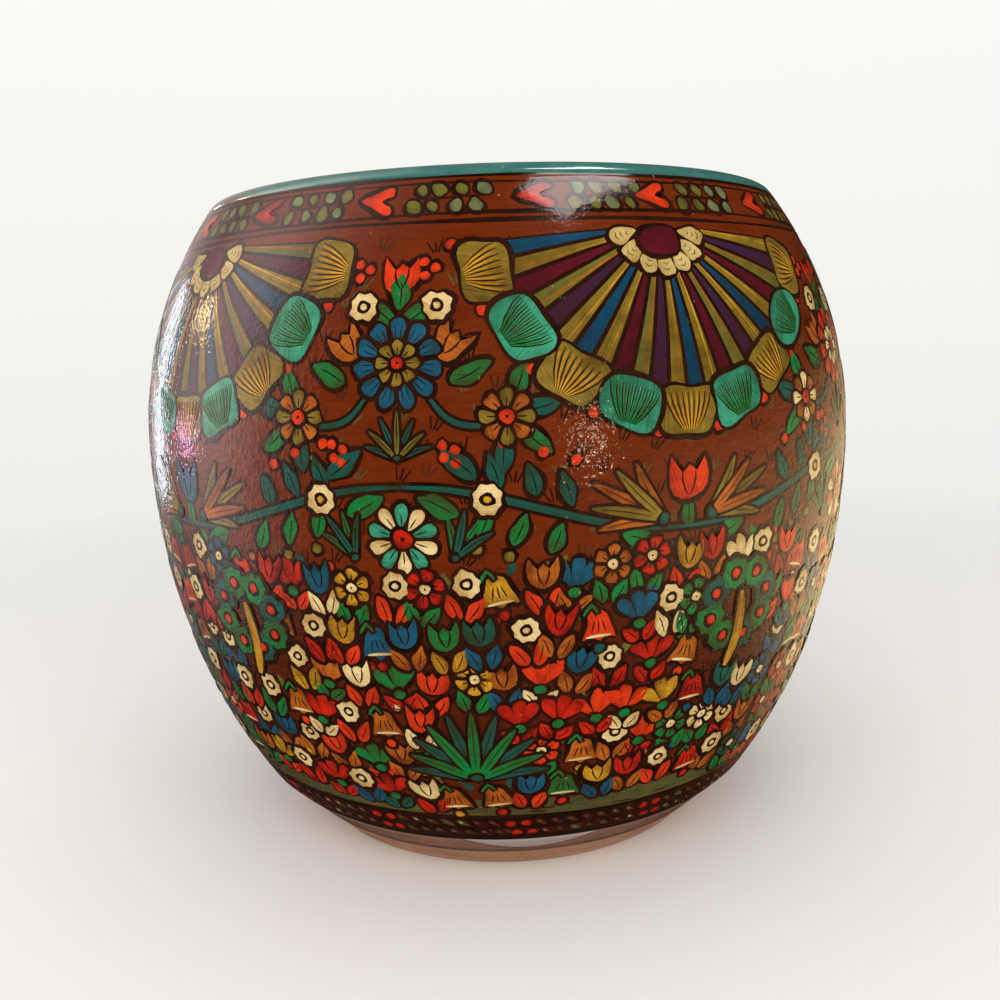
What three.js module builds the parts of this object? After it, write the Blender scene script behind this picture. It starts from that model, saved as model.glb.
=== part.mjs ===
// Hand-built clay planter: a round-bellied pot with a wide mouth, raised in courses of clay.
// Each piece of clay is a ring turned about the pot's upright axis. Millimetres, +Z up, origin on the table
// at the middle of the foot.
import * as THREE from 'three';

// Outside of the body: two half ellipses that share the belly, the widest circle of the pot
const BELLY_RADIUS = 120;
const BELLY_HEIGHT = 132;
const LOWER_SEMI_HEIGHT = 166;
const UPPER_SEMI_HEIGHT = 126;
const WALL = 8.5;

// Lip: a round bead that carries on from the wall at the rim line
const RIM_LINE_HEIGHT = 208.5;
const LIP_RADIUS = 5;

// Heel: the cone that the potter trims under the body, from its upper edge down to the foot
const HEEL_HEIGHT = 21;
const HEEL_SLOPE = THREE.MathUtils.degToRad(45);

// Foot ring, set back under the heel and narrower at the table
const FOOT_HEIGHT = 8;
const FOOT_SETBACK = 2;
const FOOT_TAPER = 5;
const FOOT_WIDTH = 12;
const FOOT_EDGE_RADIUS = 1.5;

// Floor slab with its drain hole
const FLOOR_THICKNESS = 10;
const FLOOR_EDGE = 5;
const DRAIN_RADIUS = 8;
const DRAIN_CHAMFER = 1.5;

// Tongue on the foot that sits in a groove scored in the underside of the slab
const TONGUE_WIDTH = 5;
const TONGUE_HEIGHT = 2;

// Seams between the courses: bevelled edges with a layer of slip, higher on the inside than on the outside
const LOWER_SEAM_HEIGHT = 72;
const UPPER_SEAM_RISE = 8;
const RIM_COIL_HEIGHT = 14.5;
const SCARF = 7;
const SLIP = 0.4;

// Fineness of the surfaces
const SEGMENTS = 60;
const OUTSIDE_STEP = 8;
const INSIDE_STEP = 14;
const LIP_STEPS = 9;
const EDGE_STEPS = 3;

const clay = new THREE.MeshStandardMaterial({ color: 0xb58a70, roughness: 0.85, metalness: 0 });
const paintedClay = new THREE.MeshStandardMaterial({ color: 0x6e2f1d, roughness: 0.25, metalness: 0 });
const rimPaint = new THREE.MeshStandardMaterial({ color: 0x2c6e69, roughness: 0.25, metalness: 0 });

const point = (radius, height) => new THREE.Vector2(radius, height);

// Half height of the ellipse that is in force at a height
const semiHeight = (height) => (height < BELLY_HEIGHT ? LOWER_SEMI_HEIGHT : UPPER_SEMI_HEIGHT);

// A point on the outside of the body, before the heel is trimmed
function outside(height) {
  const share = (height - BELLY_HEIGHT) / semiHeight(height);
  return point(BELLY_RADIUS * Math.sqrt(1 - share * share), height);
}

// The direction that points straight out of the wall at a height
function outward(height) {
  const across = outside(height).x / BELLY_RADIUS ** 2;
  const up = (height - BELLY_HEIGHT) / semiHeight(height) ** 2;
  return point(across, up).normalize();
}

// The point on the inside of the wall that is straight behind an outside height
function inside(height) {
  return outside(height).addScaledVector(outward(height), -WALL);
}

// The outside height whose inside point lies at a given height, found by halving
function outsideHeightBehind(insideHeight) {
  let low = insideHeight - WALL;
  let high = insideHeight + WALL;
  const halvings = 40;
  for (let i = 0; i < halvings; i++) {
    const middle = (low + high) / 2;
    if (inside(middle).y < insideHeight) low = middle;
    else high = middle;
  }
  return (low + high) / 2;
}

// Radius of the trimmed heel at a height
const heelRadius = (height) => outside(HEEL_HEIGHT).x - (HEEL_HEIGHT - height) * Math.tan(HEEL_SLOPE);

// Points of a curve from one height to another, both ends included, in steps of about the given size
function along(curve, from, to, step) {
  const count = Math.max(1, Math.round(Math.abs(to - from) / step));
  return Array.from({ length: count + 1 }, (_, i) => curve(from + ((to - from) * i) / count));
}

// Points of an arc about a centre, both ends included
function arc(centre, radius, from, to, steps) {
  return Array.from({ length: steps + 1 }, (_, i) => {
    const angle = from + ((to - from) * i) / steps;
    return point(centre.x + radius * Math.cos(angle), centre.y + radius * Math.sin(angle));
  });
}

// A ring turned from a closed section, whose points run up the outside and down the inside
function ring(name, material, section) {
  const mesh = new THREE.Mesh(new THREE.LatheGeometry([...section, section[0]], SEGMENTS), material);
  mesh.name = name;
  return mesh;
}

// Outside and inside heights of a seam's two edges, for the piece below it or the piece above it
const seamBelow = (seam) => ({ outer: seam - SCARF / 2, inner: seam + SCARF / 2 });
const seamAbove = (seam) => ({ outer: seam - SCARF / 2 + SLIP, inner: seam + SCARF / 2 + SLIP });

// One course of the wall between two seams
function course(name, seamUnder, seamOver) {
  const bottom = seamAbove(seamUnder);
  const top = seamBelow(seamOver);
  return ring(name, paintedClay, [
    ...along(outside, bottom.outer, top.outer, OUTSIDE_STEP),
    ...along(inside, top.inner, bottom.inner, INSIDE_STEP),
  ]);
}

const upperSeam = BELLY_HEIGHT + UPPER_SEAM_RISE;
const rimSeam = RIM_LINE_HEIGHT - RIM_COIL_HEIGHT;
const floorTop = FOOT_HEIGHT + FLOOR_THICKNESS;
const floorEdge = FOOT_HEIGHT + FLOOR_EDGE;
const footTopRadius = heelRadius(FOOT_HEIGHT) - FOOT_SETBACK;
const footBottomRadius = footTopRadius - FOOT_TAPER;
const footInnerRadius = footBottomRadius - FOOT_WIDTH;
const tongueRadius = (footTopRadius + footInnerRadius) / 2;

// Plain clay ring that the pot stands on, with the tongue on its top face
function footRing() {
  const top = FOOT_HEIGHT - SLIP;
  const tongueTop = FOOT_HEIGHT + TONGUE_HEIGHT - SLIP;
  const outerEdge = point(footBottomRadius - FOOT_EDGE_RADIUS, FOOT_EDGE_RADIUS);
  const innerEdge = point(footInnerRadius + FOOT_EDGE_RADIUS, FOOT_EDGE_RADIUS);
  return ring('foot_ring', clay, [
    ...arc(outerEdge, FOOT_EDGE_RADIUS, -Math.PI / 2, 0, EDGE_STEPS),
    point(footTopRadius, top),
    point(tongueRadius + TONGUE_WIDTH / 2, top),
    point(tongueRadius + TONGUE_WIDTH / 2, tongueTop),
    point(tongueRadius - TONGUE_WIDTH / 2, tongueTop),
    point(tongueRadius - TONGUE_WIDTH / 2, top),
    point(footInnerRadius, top),
    ...arc(innerEdge, FOOT_EDGE_RADIUS, Math.PI, (3 * Math.PI) / 2, EDGE_STEPS),
  ]);
}

// Floor of the pot: its rim is part of the heel, and bevelled where the lower bowl stands on it
function floorSlab() {
  const grooveOuter = tongueRadius + TONGUE_WIDTH / 2 + SLIP;
  const grooveInner = tongueRadius - TONGUE_WIDTH / 2 - SLIP;
  const grooveTop = FOOT_HEIGHT + TONGUE_HEIGHT;
  return ring('floor_slab', clay, [
    point(heelRadius(FOOT_HEIGHT), FOOT_HEIGHT),
    point(heelRadius(floorEdge), floorEdge),
    inside(outsideHeightBehind(floorTop)),
    point(DRAIN_RADIUS + DRAIN_CHAMFER, floorTop),
    point(DRAIN_RADIUS, floorTop - DRAIN_CHAMFER),
    point(DRAIN_RADIUS, FOOT_HEIGHT + DRAIN_CHAMFER),
    point(DRAIN_RADIUS + DRAIN_CHAMFER, FOOT_HEIGHT),
    point(grooveInner, FOOT_HEIGHT),
    point(grooveInner, grooveTop),
    point(grooveOuter, grooveTop),
    point(grooveOuter, FOOT_HEIGHT),
  ]);
}

// Lower bowl: the trimmed heel, then the body up to the first seam
function lowerBowl() {
  const top = seamBelow(LOWER_SEAM_HEIGHT);
  return ring('lower_bowl', paintedClay, [
    point(heelRadius(floorEdge + SLIP), floorEdge + SLIP),
    ...along(outside, HEEL_HEIGHT, top.outer, OUTSIDE_STEP),
    ...along(inside, top.inner, outsideHeightBehind(floorTop + SLIP), INSIDE_STEP),
  ]);
}

// Rim coil: the last of the wall, rolled over into the round lip
function rimCoil() {
  const bottom = seamAbove(rimSeam);
  const out = outward(RIM_LINE_HEIGHT);
  const lipCentre = outside(RIM_LINE_HEIGHT).addScaledVector(out, -LIP_RADIUS);
  return ring('rim_coil', rimPaint, [
    ...along(outside, bottom.outer, RIM_LINE_HEIGHT, OUTSIDE_STEP).slice(0, -1),
    ...arc(lipCentre, LIP_RADIUS, out.angle(), out.angle() + Math.PI, LIP_STEPS),
    inside(bottom.inner),
  ]);
}

// The rings are turned about +Y, so the pot is tipped upright as a whole
const pot = new THREE.Group();
pot.rotation.x = Math.PI / 2;
pot.add(
  footRing(),
  floorSlab(),
  lowerBowl(),
  course('belly_course', LOWER_SEAM_HEIGHT, upperSeam),
  course('shoulder_course', upperSeam, rimSeam),
  rimCoil(),
);

const planter = new THREE.Group();
planter.add(pot);

export default planter;
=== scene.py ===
"""Hand-built clay planter: fired clay rings, brushed ornament under glossy varnish, and a pale studio."""
import logging
import math
import random
from dataclasses import dataclass, field, replace
from enum import Enum
from functools import cached_property
from typing import Callable, Optional, Sequence, Union

import bmesh
import bpy
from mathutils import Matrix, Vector


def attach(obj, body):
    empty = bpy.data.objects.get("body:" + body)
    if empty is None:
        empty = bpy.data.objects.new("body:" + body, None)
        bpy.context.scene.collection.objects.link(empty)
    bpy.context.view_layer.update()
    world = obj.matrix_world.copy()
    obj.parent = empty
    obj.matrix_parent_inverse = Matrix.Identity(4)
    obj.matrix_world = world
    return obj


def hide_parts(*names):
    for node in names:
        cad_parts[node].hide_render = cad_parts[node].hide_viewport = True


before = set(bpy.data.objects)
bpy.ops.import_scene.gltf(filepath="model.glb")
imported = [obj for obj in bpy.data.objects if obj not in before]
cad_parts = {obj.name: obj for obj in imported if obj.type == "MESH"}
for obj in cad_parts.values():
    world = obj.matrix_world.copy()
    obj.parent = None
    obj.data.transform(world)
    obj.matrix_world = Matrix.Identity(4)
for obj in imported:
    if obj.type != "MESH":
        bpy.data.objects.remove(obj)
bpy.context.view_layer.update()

LOG = logging.getLogger("planter")
MM = 0.001
FULL_TURN = 2 * math.pi
# Corners that lie closer than this are one
MERGE = 0.001 * MM
# How much higher a motif lies that covers another one
MOTIF_STEP = 0.09 * MM
# What each corner of a dab knows: the brush's load, the batch of paint, and millimetres across its hairs
DAB_LAYERS = ("load", "batch", "hair")

Pair = tuple[float, float]
Triple = tuple[float, float, float]
Colour = tuple[float, float, float, float]
Breadth = Callable[[float], float]


def paint_tone(code: str) -> Colour:
    """Turns a colour code of six hex digits into linear red, green, blue and alpha.

    Args:
        code: Six hex digits, as a paint chart writes them.

    Returns:
        The colour for a shader socket.
    """
    shares = [int(code[i : i + 2], 16) / 255 for i in (0, 2, 4)]
    linear = [s / 12.92 if s <= 0.04045 else ((s + 0.055) / 1.055) ** 2.4 for s in shares]
    return (*linear, 1.0)


# Shader maths


class Value:
    """A number that varies over a surface: a node's output, with arithmetic that adds Math nodes."""

    def __init__(self, graph: "Graph", socket: bpy.types.NodeSocket) -> None:
        """Keeps the socket and the graph that further nodes go to."""
        self.graph = graph
        self.socket = socket

    def math(self, operation: str, first: "Number", second: "Number", clamp: bool = False) -> "Value":
        """Adds one Math node, whose result may be held between 0 and 1."""
        inputs = {0: first, 1: second}
        return self.graph.value("ShaderNodeMath", inputs, operation=operation, use_clamp=clamp)

    def __add__(self, other: "Number") -> "Value":
        """Sum."""
        return self.math("ADD", self, other)

    def __radd__(self, other: "Number") -> "Value":
        """Sum with the plain number first."""
        return self.math("ADD", other, self)

    def __sub__(self, other: "Number") -> "Value":
        """Difference."""
        return self.math("SUBTRACT", self, other)

    def __rsub__(self, other: "Number") -> "Value":
        """Difference from a plain number."""
        return self.math("SUBTRACT", other, self)

    def __mul__(self, other: "Number") -> "Value":
        """Product."""
        return self.math("MULTIPLY", self, other)

    def __rmul__(self, other: "Number") -> "Value":
        """Product with the plain number first."""
        return self.math("MULTIPLY", other, self)

    def most(self, other: "Number") -> "Value":
        """The larger of two numbers."""
        return self.math("MAXIMUM", self, other)

    def ramp(self, low: float, high: float) -> "Value":
        """Rises from 0 at low to 1 at high, held between them."""
        return self.math("MULTIPLY", self - low, 1 / (high - low), clamp=True)


Number = Union[Value, float]
Given = Union[Value, bpy.types.NodeSocket, float, Sequence[float]]
Setting = Union[str, bool]


class Graph:
    """The node tree of a material or the world."""

    def __init__(self, tree: bpy.types.NodeTree) -> None:
        """Starts from an empty tree."""
        self.tree = tree
        tree.nodes.clear()

    def node(self, kind: str, inputs: Optional[dict] = None, **settings: Setting) -> bpy.types.Node:
        """Adds a node.

        Args:
            kind: The node's type.
            inputs: Values or links of its sockets, by name or place.
            settings: Its properties, set before its sockets.

        Returns:
            The node.
        """
        made = self.tree.nodes.new(kind)
        for name, setting in settings.items():
            setattr(made, name, setting)
        for name, given in (inputs or {}).items():
            source = given.socket if isinstance(given, Value) else given
            if isinstance(source, bpy.types.NodeSocket):
                self.tree.links.new(source, made.inputs[name])
            else:
                made.inputs[name].default_value = source
        return made

    def value(self, kind: str, inputs: dict, output: Union[int, str] = 0, **settings: Setting) -> Value:
        """Adds a node and wraps one of its outputs as a number."""
        return Value(self, self.node(kind, inputs, **settings).outputs[output])

    def place(self, stretch: Triple = (1.0, 1.0, 1.0)) -> bpy.types.NodeSocket:
        """Object coordinates, stretched along each axis."""
        coordinates = self.node("ShaderNodeTexCoord").outputs["Object"]
        return self.node("ShaderNodeMapping", {"Vector": coordinates, "Scale": stretch}).outputs[0]

    def axes(self, place: bpy.types.NodeSocket) -> list[Value]:
        """The three parts of a place or a direction, each as a number."""
        parts = self.node("ShaderNodeSeparateXYZ", {0: place})
        return [Value(self, parts.outputs[axis]) for axis in "XYZ"]

    def noise(self, per_metre: float, detail: float, stretch: Triple = (1.0, 1.0, 1.0)) -> Value:
        """Cloudy noise about 0.5, with some features to the metre, drawn out along the axes."""
        inputs = {"Vector": self.place(stretch), "Scale": per_metre, "Detail": detail}
        return self.value("ShaderNodeTexNoise", inputs, "Fac")

    def mix(self, share: Number, first: Given, second: Given) -> bpy.types.NodeSocket:
        """Blends two colours by the share of the second one, from 0 to 1."""
        inputs = {0: share, 6: first, 7: second}
        return self.node("ShaderNodeMix", inputs, data_type="RGBA").outputs[2]


# Finishes


@dataclass(frozen=True)
class Finish:
    """A surface finish that makes one material."""

    name: str
    tone: str
    thin: str
    mirror: float = 0.5

    def colour(self, graph: Graph) -> Given:
        """The colour over the surface."""
        raise NotImplementedError

    def roughness(self, graph: Graph) -> Number:
        """The roughness over the surface."""
        raise NotImplementedError

    def normal(self, graph: Graph) -> bpy.types.NodeSocket:
        """The bumped normal over the surface."""
        raise NotImplementedError

    def bump(self, graph: Graph, height: Value, depth: float) -> bpy.types.NodeSocket:
        """Bumps the surface by a height from 0 to 1, as deep as given in metres."""
        inputs = {"Height": height, "Distance": depth, "Strength": 1.0}
        return graph.node("ShaderNodeBump", inputs).outputs[0]

    def material(self) -> bpy.types.Material:
        """Makes the material, or gives back the one that was made before.

        Returns:
            The material under this finish's name.
        """
        known = bpy.data.materials.get(self.name)
        if known:
            return known
        made = bpy.data.materials.new(self.name)
        made.use_nodes = True
        graph = Graph(made.node_tree)
        inputs = {
            "Base Color": self.colour(graph),
            "Roughness": self.roughness(graph),
            "Normal": self.normal(graph),
            "Specular IOR Level": self.mirror,
        }
        shader = graph.node("ShaderNodeBsdfPrincipled", inputs)
        graph.node("ShaderNodeOutputMaterial", {"Surface": shader.outputs[0]})
        return made


@dataclass(frozen=True)
class Varnished(Finish):
    """Brushed paint under glossy varnish, which ripples alike over every colour."""

    mirror: float = 0.12
    smooth: float = 0.07
    streaks: float = 1.0
    speck: str = "2a120a"
    nick: str = "b99a82"

    def uneven(self, graph: Graph) -> Value:
        """How far streaks and patches leave the paint thin, from 0 to about 1.

        Args:
            graph: The material's nodes.

        Returns:
            The thinness, as a number over the surface.
        """
        patch = graph.noise(95.0, 3.0).ramp(0.36, 0.72)
        streak = graph.noise(420.0, 3.0, (0.35, 0.35, 2.2)).ramp(0.42, 0.75)
        return patch * 0.45 + streak * (0.48 * self.streaks)

    def colour(self, graph: Graph) -> Given:
        """Paint that is thinner in places, with specks under the varnish and pale nicks in it.

        Args:
            graph: The material's nodes.

        Returns:
            The colour.
        """
        thin = self.uneven(graph).ramp(0.0, 1.0)
        brushed = graph.mix(thin, paint_tone(self.tone), paint_tone(self.thin))
        specks = graph.noise(900.0, 2.0).ramp(0.69, 0.76)
        specked = graph.mix(specks * 0.35, brushed, paint_tone(self.speck))
        nicks = graph.noise(640.0, 1.0, (1.0, 1.0, 0.6)).ramp(0.785, 0.815)
        return graph.mix(nicks * 0.4, specked, paint_tone(self.nick))

    def roughness(self, graph: Graph) -> Number:
        """Gloss that is duller where hands and brushes left it uneven."""
        return graph.noise(60.0, 4.0, (0.5, 0.5, 1.5)).ramp(0.35, 0.8) * 0.12 + self.smooth

    def normal(self, graph: Graph) -> bpy.types.NodeSocket:
        """Brush ripples along the wall with a fine orange peel on top, both flatter under the rim.

        Args:
            graph: The material's nodes.

        Returns:
            The bumped normal.
        """
        brush = graph.noise(260.0, 2.0, (0.45, 0.45, 1.6))
        peel = graph.noise(1200.0, 1.0)
        grain = graph.noise(560.0, 1.0)
        ripple = graph.axes(graph.place())[2].ramp(0.2, 0.165) * 0.86 + 0.14
        return self.bump(graph, (brush * 0.25 + peel * 0.25 + grain * 0.5) * ripple, 0.0003)


@dataclass(frozen=True)
class Brushed(Varnished):
    """Ornament paint: full in the middle of a dab, thin at its edge, and mixed anew for every dab."""

    def uneven(self, graph: Graph) -> Value:
        """Blotches and marks of the brush's hairs, with the load of the brush and the batch of paint.

        Args:
            graph: The material's nodes.

        Returns:
            The thinness, as a number over the surface.
        """
        load, batch, hair = [
            graph.value("ShaderNodeAttribute", {}, "Fac", attribute_name=name) for name in DAB_LAYERS
        ]
        inputs = {"W": hair + batch * 50, "Scale": 1.7, "Detail": 2.0}
        marks = graph.value("ShaderNodeTexNoise", inputs, "Fac", noise_dimensions="1D").ramp(0.35, 0.7)
        blotch = graph.noise(240.0, 3.0).ramp(0.38, 0.68)
        worn = super().uneven(graph) * 0.4 + blotch * 0.4 + marks * 0.35
        return worn + (1 - load) * 0.75 + batch * 0.4 - 0.5


@dataclass(frozen=True)
class LipPaint(Varnished):
    """Lip paint, chipped down to the clay in small spots and brown on the outside of the crest at the front
    left.
    """

    chip: str = "8d5b45"
    # Brown shown on the outer crest at the front left
    under: str = "63301c"
    crest_height: float = 0.2098
    crest_radius: float = 0.0915

    def colour(self, graph: Graph) -> Given:
        """The brushed paint with its chips and the brown part at the front left.

        Args:
            graph: The material's nodes.

        Returns:
            The colour.
        """
        chips = graph.noise(210.0, 3.0, (1.0, 1.0, 1.6)).ramp(0.7, 0.73)
        chipped = graph.mix(chips * 0.8, super().colour(graph), paint_tone(self.chip))
        across, along, up = graph.axes(graph.place())
        patchy = graph.noise(180.0, 3.0) * 0.03
        # Brown over the outer crest, on the front left side only
        left = (across + patchy).ramp(-0.053, -0.06) * along.ramp(0.03, -0.01)
        outer = (across * across + along * along).ramp(self.crest_radius**2, (self.crest_radius + 0.002) ** 2)
        left_outer_brown = left * outer * up.ramp(self.crest_height, self.crest_height - 0.0006)
        return graph.mix(left_outer_brown, chipped, paint_tone(self.under))


@dataclass(frozen=True)
class GroundPaint(Varnished):
    """Ground colour, darkened with a thin wash behind the close rows."""

    deep: str = "481c0d"
    low: float = 0.100
    high: float = 0.114

    def colour(self, graph: Graph) -> Given:
        """The brushed ground with the dark wash over its lower part.

        Args:
            graph: The material's nodes.

        Returns:
            The colour.
        """
        base = super().colour(graph)
        cloud = graph.noise(60.0, 3.0).ramp(0.3, 0.7)
        height = graph.axes(graph.place())[2] + cloud * 0.012
        wash = (1 - height.ramp(self.low, self.high)) * (cloud * 0.4 + 0.5)
        return graph.mix(wash, base, paint_tone(self.deep))


@dataclass(frozen=True)
class HeelWithPaintedReflection(Varnished):
    """Varnished heel, with one pale lens at the front that is a painted reflection of the bright table."""

    # Pale colour of the painted reflection on the front of the heel
    slip: str = "bbb0ac"
    edge: str = "3a2722"
    middle: float = 0.006
    half: float = 0.022
    low: float = 0.0108
    rise: float = 0.0064

    def colour(self, graph: Graph) -> Given:
        """The varnished clay with the pale lens of painted reflection and the dark line along its lower edge.

        Args:
            graph: The material's nodes.

        Returns:
            The colour.
        """
        across, along, up = graph.axes(graph.place())
        off = (across - self.middle) * (1 / self.half)
        over = up - (off * off * self.rise + self.low)
        # Only the front of the heel, the side toward the camera, gets the painted reflection
        front = along.ramp(-0.05, -0.06) * (1 - off * off).ramp(-0.1, 0.1)
        # Painted reflection: the pale lens laid over the varnished clay
        slip = graph.mix(over.ramp(0.0, 0.0006) * front * 0.8, super().colour(graph), paint_tone(self.slip))
        line = over.ramp(-0.0007, -0.0002) - over.ramp(-0.0002, 0.0003)
        return graph.mix(line * front * 0.7, slip, paint_tone(self.edge))


@dataclass(frozen=True)
class FiredClay(Finish):
    """Bare low-fired clay: uneven in tone, speckled with grit, dry."""

    mirror: float = 0.3
    grit: str = "74492f"

    def colour(self, graph: Graph) -> Given:
        """Firing clouds over the body, with specks of grit.

        Args:
            graph: The material's nodes.

        Returns:
            The colour.
        """
        cloud = graph.noise(38.0, 4.0).ramp(0.3, 0.75)
        body = graph.mix(cloud, paint_tone(self.tone), paint_tone(self.thin))
        wiped = graph.noise(240.0, 3.0, (0.3, 0.3, 3.0)).ramp(0.45, 0.8)
        body = graph.mix(wiped * 0.5, body, paint_tone(self.grit))
        grit = graph.noise(1500.0, 1.0).ramp(0.66, 0.74)
        return graph.mix(grit * 0.5, body, paint_tone(self.grit))

    def roughness(self, graph: Graph) -> Number:
        """Dry all over, a little smoother where it was wiped."""
        return graph.noise(150.0, 2.0, (0.4, 0.4, 2.0)).ramp(0.3, 0.8) * -0.18 + 0.88

    def normal(self, graph: Graph) -> bpy.types.NodeSocket:
        """Wiping marks and grit.

        Args:
            graph: The material's nodes.

        Returns:
            The bumped normal.
        """
        wiped = graph.noise(300.0, 3.0, (0.25, 0.25, 3.0))
        grit = graph.noise(1300.0, 2.0)
        return self.bump(graph, wiped * 0.55 + grit * 0.45, 0.00035)


RAW_CLAY = FiredClay("raw_clay", "804d36", "986046")
FOOT_CLAY = FiredClay("foot_clay", "a87c62", "bb8f74", grit="825a44")
GROUND = GroundPaint("ground_paint", "6e2a0c", "5a1f08", smooth=0.07, streaks=1.3)
HEEL_VARNISH = HeelWithPaintedReflection("heel_varnish", "987060", "815c4a", mirror=0.4, smooth=0.08)
LIP_TEAL = LipPaint("lip_paint", "30655f", "4a8078", mirror=0.45, smooth=0.1)


class Pigment(Enum):
    """The paints on the palette, each with its colour and its colour where the brush ran thin."""

    LINE = Brushed("line_paint", "1a0b05", "34190f")
    CREAM = Brushed("cream_paint", "ecd298", "b48f50")
    BUFF = Brushed("buff_paint", "cdb272", "a08345")
    RED = Brushed("red_paint", "c92711", "6a1410")
    VERMILION = Brushed("vermilion_paint", "de3c18", "952510")
    BLUE = Brushed("blue_paint", "1c5670", "1d3b42")
    NAVY = Brushed("navy_paint", "11425f", "16303c")
    GREEN = Brushed("green_paint", "0d7a39", "34441e")
    PINE = Brushed("pine_paint", "15564a", "2a3826")
    MINT = Brushed("mint_paint", "3fa07a", "266044")
    OCHRE = Brushed("ochre_paint", "d09826", "7a4c14")
    RUST = Brushed("rust_paint", "b8621f", "6e3312")
    STRAW = Brushed("straw_paint", "8c7228", "584516")
    OLIVE = Brushed("olive_paint", "6e6928", "4b4720")
    MOSS = Brushed("moss_paint", "55522f", "4a3a1e")
    SAGE = Brushed("sage_paint", "73794c", "53583a")
    MAROON = Brushed("maroon_paint", "5a1522", "3f1218")
    PLUM = Brushed("plum_paint", "37223f", "3c1d26")
    UMBER = Brushed("umber_paint", "54291b", "3a1a10")


class Coat(Enum):
    """How far the top of each layer of paint stands off the ground coat, in metres."""

    WASH = 0.02 * MM
    LINE = 0.04 * MM
    FILL = 0.075 * MM
    MARK = 0.105 * MM
    EYE = 0.125 * MM


# Form of the pot


@dataclass(frozen=True)
class PotForm:
    """The turned form that the clay rings, the films and the ornament all follow."""

    belly_radius: float = 120 * MM
    belly_height: float = 132 * MM
    lower_semi: float = 166 * MM
    upper_semi: float = 126 * MM
    wall: float = 8.5 * MM
    rim_line: float = 208.5 * MM
    lip_radius: float = 5 * MM
    heel_height: float = 21 * MM
    foot_height: float = 8 * MM
    floor_edge: float = 13 * MM
    floor_top: float = 18 * MM
    seams: Triple = (72 * MM, 140 * MM, 194 * MM)
    step: float = 0.5 * MM

    def semi(self, height: float) -> float:
        """Half height of the ellipse that is in force at a height."""
        return self.lower_semi if height < self.belly_height else self.upper_semi

    def body(self, height: float) -> Pair:
        """Radius and height of the outside of the body, before the heel is trimmed."""
        share = (height - self.belly_height) / self.semi(height)
        return self.belly_radius * math.sqrt(1 - share * share), height

    def body_outward(self, height: float) -> Pair:
        """Unit direction straight out of the body's wall.

        Args:
            height: Height on the body.

        Returns:
            Its parts across and up.
        """
        across = self.body(height)[0] / self.belly_radius**2
        up = (height - self.belly_height) / self.semi(height) ** 2
        size = math.hypot(across, up)
        return across / size, up / size

    def inside(self, height: float) -> Pair:
        """Point on the inside of the wall straight behind an outside height.

        Args:
            height: Height on the outside.

        Returns:
            Its radius and height.
        """
        radius, _ = self.body(height)
        across, up = self.body_outward(height)
        return radius - across * self.wall, height - up * self.wall

    def behind(self, inside_height: float) -> float:
        """Finds the outside height whose inside point lies at a given height.

        Args:
            inside_height: Height on the inside of the wall.

        Returns:
            The outside height, found by halving.
        """
        low, high = inside_height - self.wall, inside_height + self.wall
        for _ in range(40):
            middle = (low + high) / 2
            low, high = (middle, high) if self.inside(middle)[1] < inside_height else (low, middle)
        return (low + high) / 2

    def skin(self, height: float) -> float:
        """Radius of the outside with its trimmed heel, a cone of 45 degrees.

        Args:
            height: Height on the skin.

        Returns:
            The radius.
        """
        if height >= self.heel_height:
            return self.body(height)[0]
        return self.body(self.heel_height)[0] - (self.heel_height - height)

    def outward(self, height: float) -> Pair:
        """Unit direction straight out of the skin.

        Args:
            height: Height on the skin.

        Returns:
            Its parts across and up.
        """
        if height >= self.heel_height:
            return self.body_outward(height)
        return math.sqrt(0.5), -math.sqrt(0.5)

    @cached_property
    def climbs(self) -> list[float]:
        """Length up the skin from the foot's top to each step of height.

        Returns:
            The lengths, from 0 up.
        """
        count = int((self.rim_line - self.foot_height) / self.step) + 2
        lengths = [0.0]
        for i in range(count):
            low = self.foot_height + i * self.step
            rise = self.skin(low + self.step) - self.skin(low)
            lengths.append(lengths[-1] + math.hypot(rise, self.step))
        return lengths

    def climb(self, height: float) -> float:
        """Length up the skin from the foot's top to a height.

        Args:
            height: Height on the skin.

        Returns:
            The length.
        """
        at = max(0.0, (height - self.foot_height) / self.step)
        i = min(int(at), len(self.climbs) - 2)
        return self.climbs[i] + (at - i) * (self.climbs[i + 1] - self.climbs[i])

    def height(self, climb: float) -> float:
        """Height at a length up the skin, found by halving the table.

        Args:
            climb: Length up the skin from the foot's top.

        Returns:
            The height.
        """
        low, high = 0, len(self.climbs) - 1
        while high - low > 1:
            middle = (low + high) // 2
            low, high = (middle, high) if self.climbs[middle] <= climb else (low, middle)
        share = (climb - self.climbs[low]) / (self.climbs[high] - self.climbs[low])
        return self.foot_height + (low + share) * self.step

    def wrap(self, turn: float, height: float, lift: float) -> Vector:
        """Puts a point on the skin.

        Args:
            turn: Angle round the pot from the front, to the right.
            height: Height on the skin.
            lift: Distance off the skin.

        Returns:
            The point.
        """
        across, up = self.outward(height)
        radius = self.skin(height) + across * lift
        return Vector((radius * math.sin(turn), -radius * math.cos(turn), height + up * lift))

    def normal(self, point: Vector) -> Vector:
        """Direction straight out of the skin at a point on it.

        Args:
            point: The point.

        Returns:
            A unit direction.
        """
        across, up = self.outward(point.z)
        flat = math.hypot(point.x, point.y)
        return Vector((point.x / flat * across, point.y / flat * across, up))


POT = PotForm()


def heights(low: float, high: float, step: float) -> list[float]:
    """Even heights from one to another, both included, about a step apart."""
    count = max(1, round(abs(high - low) / step))
    return [low + (high - low) * i / count for i in range(count + 1)]


def arc(centre: Pair, radius: float, start: float, end: float, steps: int) -> list[Pair]:
    """Points of an arc in a section, both ends included."""
    turns = [start + (end - start) * i / steps for i in range(steps + 1)]
    return [(centre[0] + radius * math.cos(a), centre[1] + radius * math.sin(a)) for a in turns]


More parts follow.
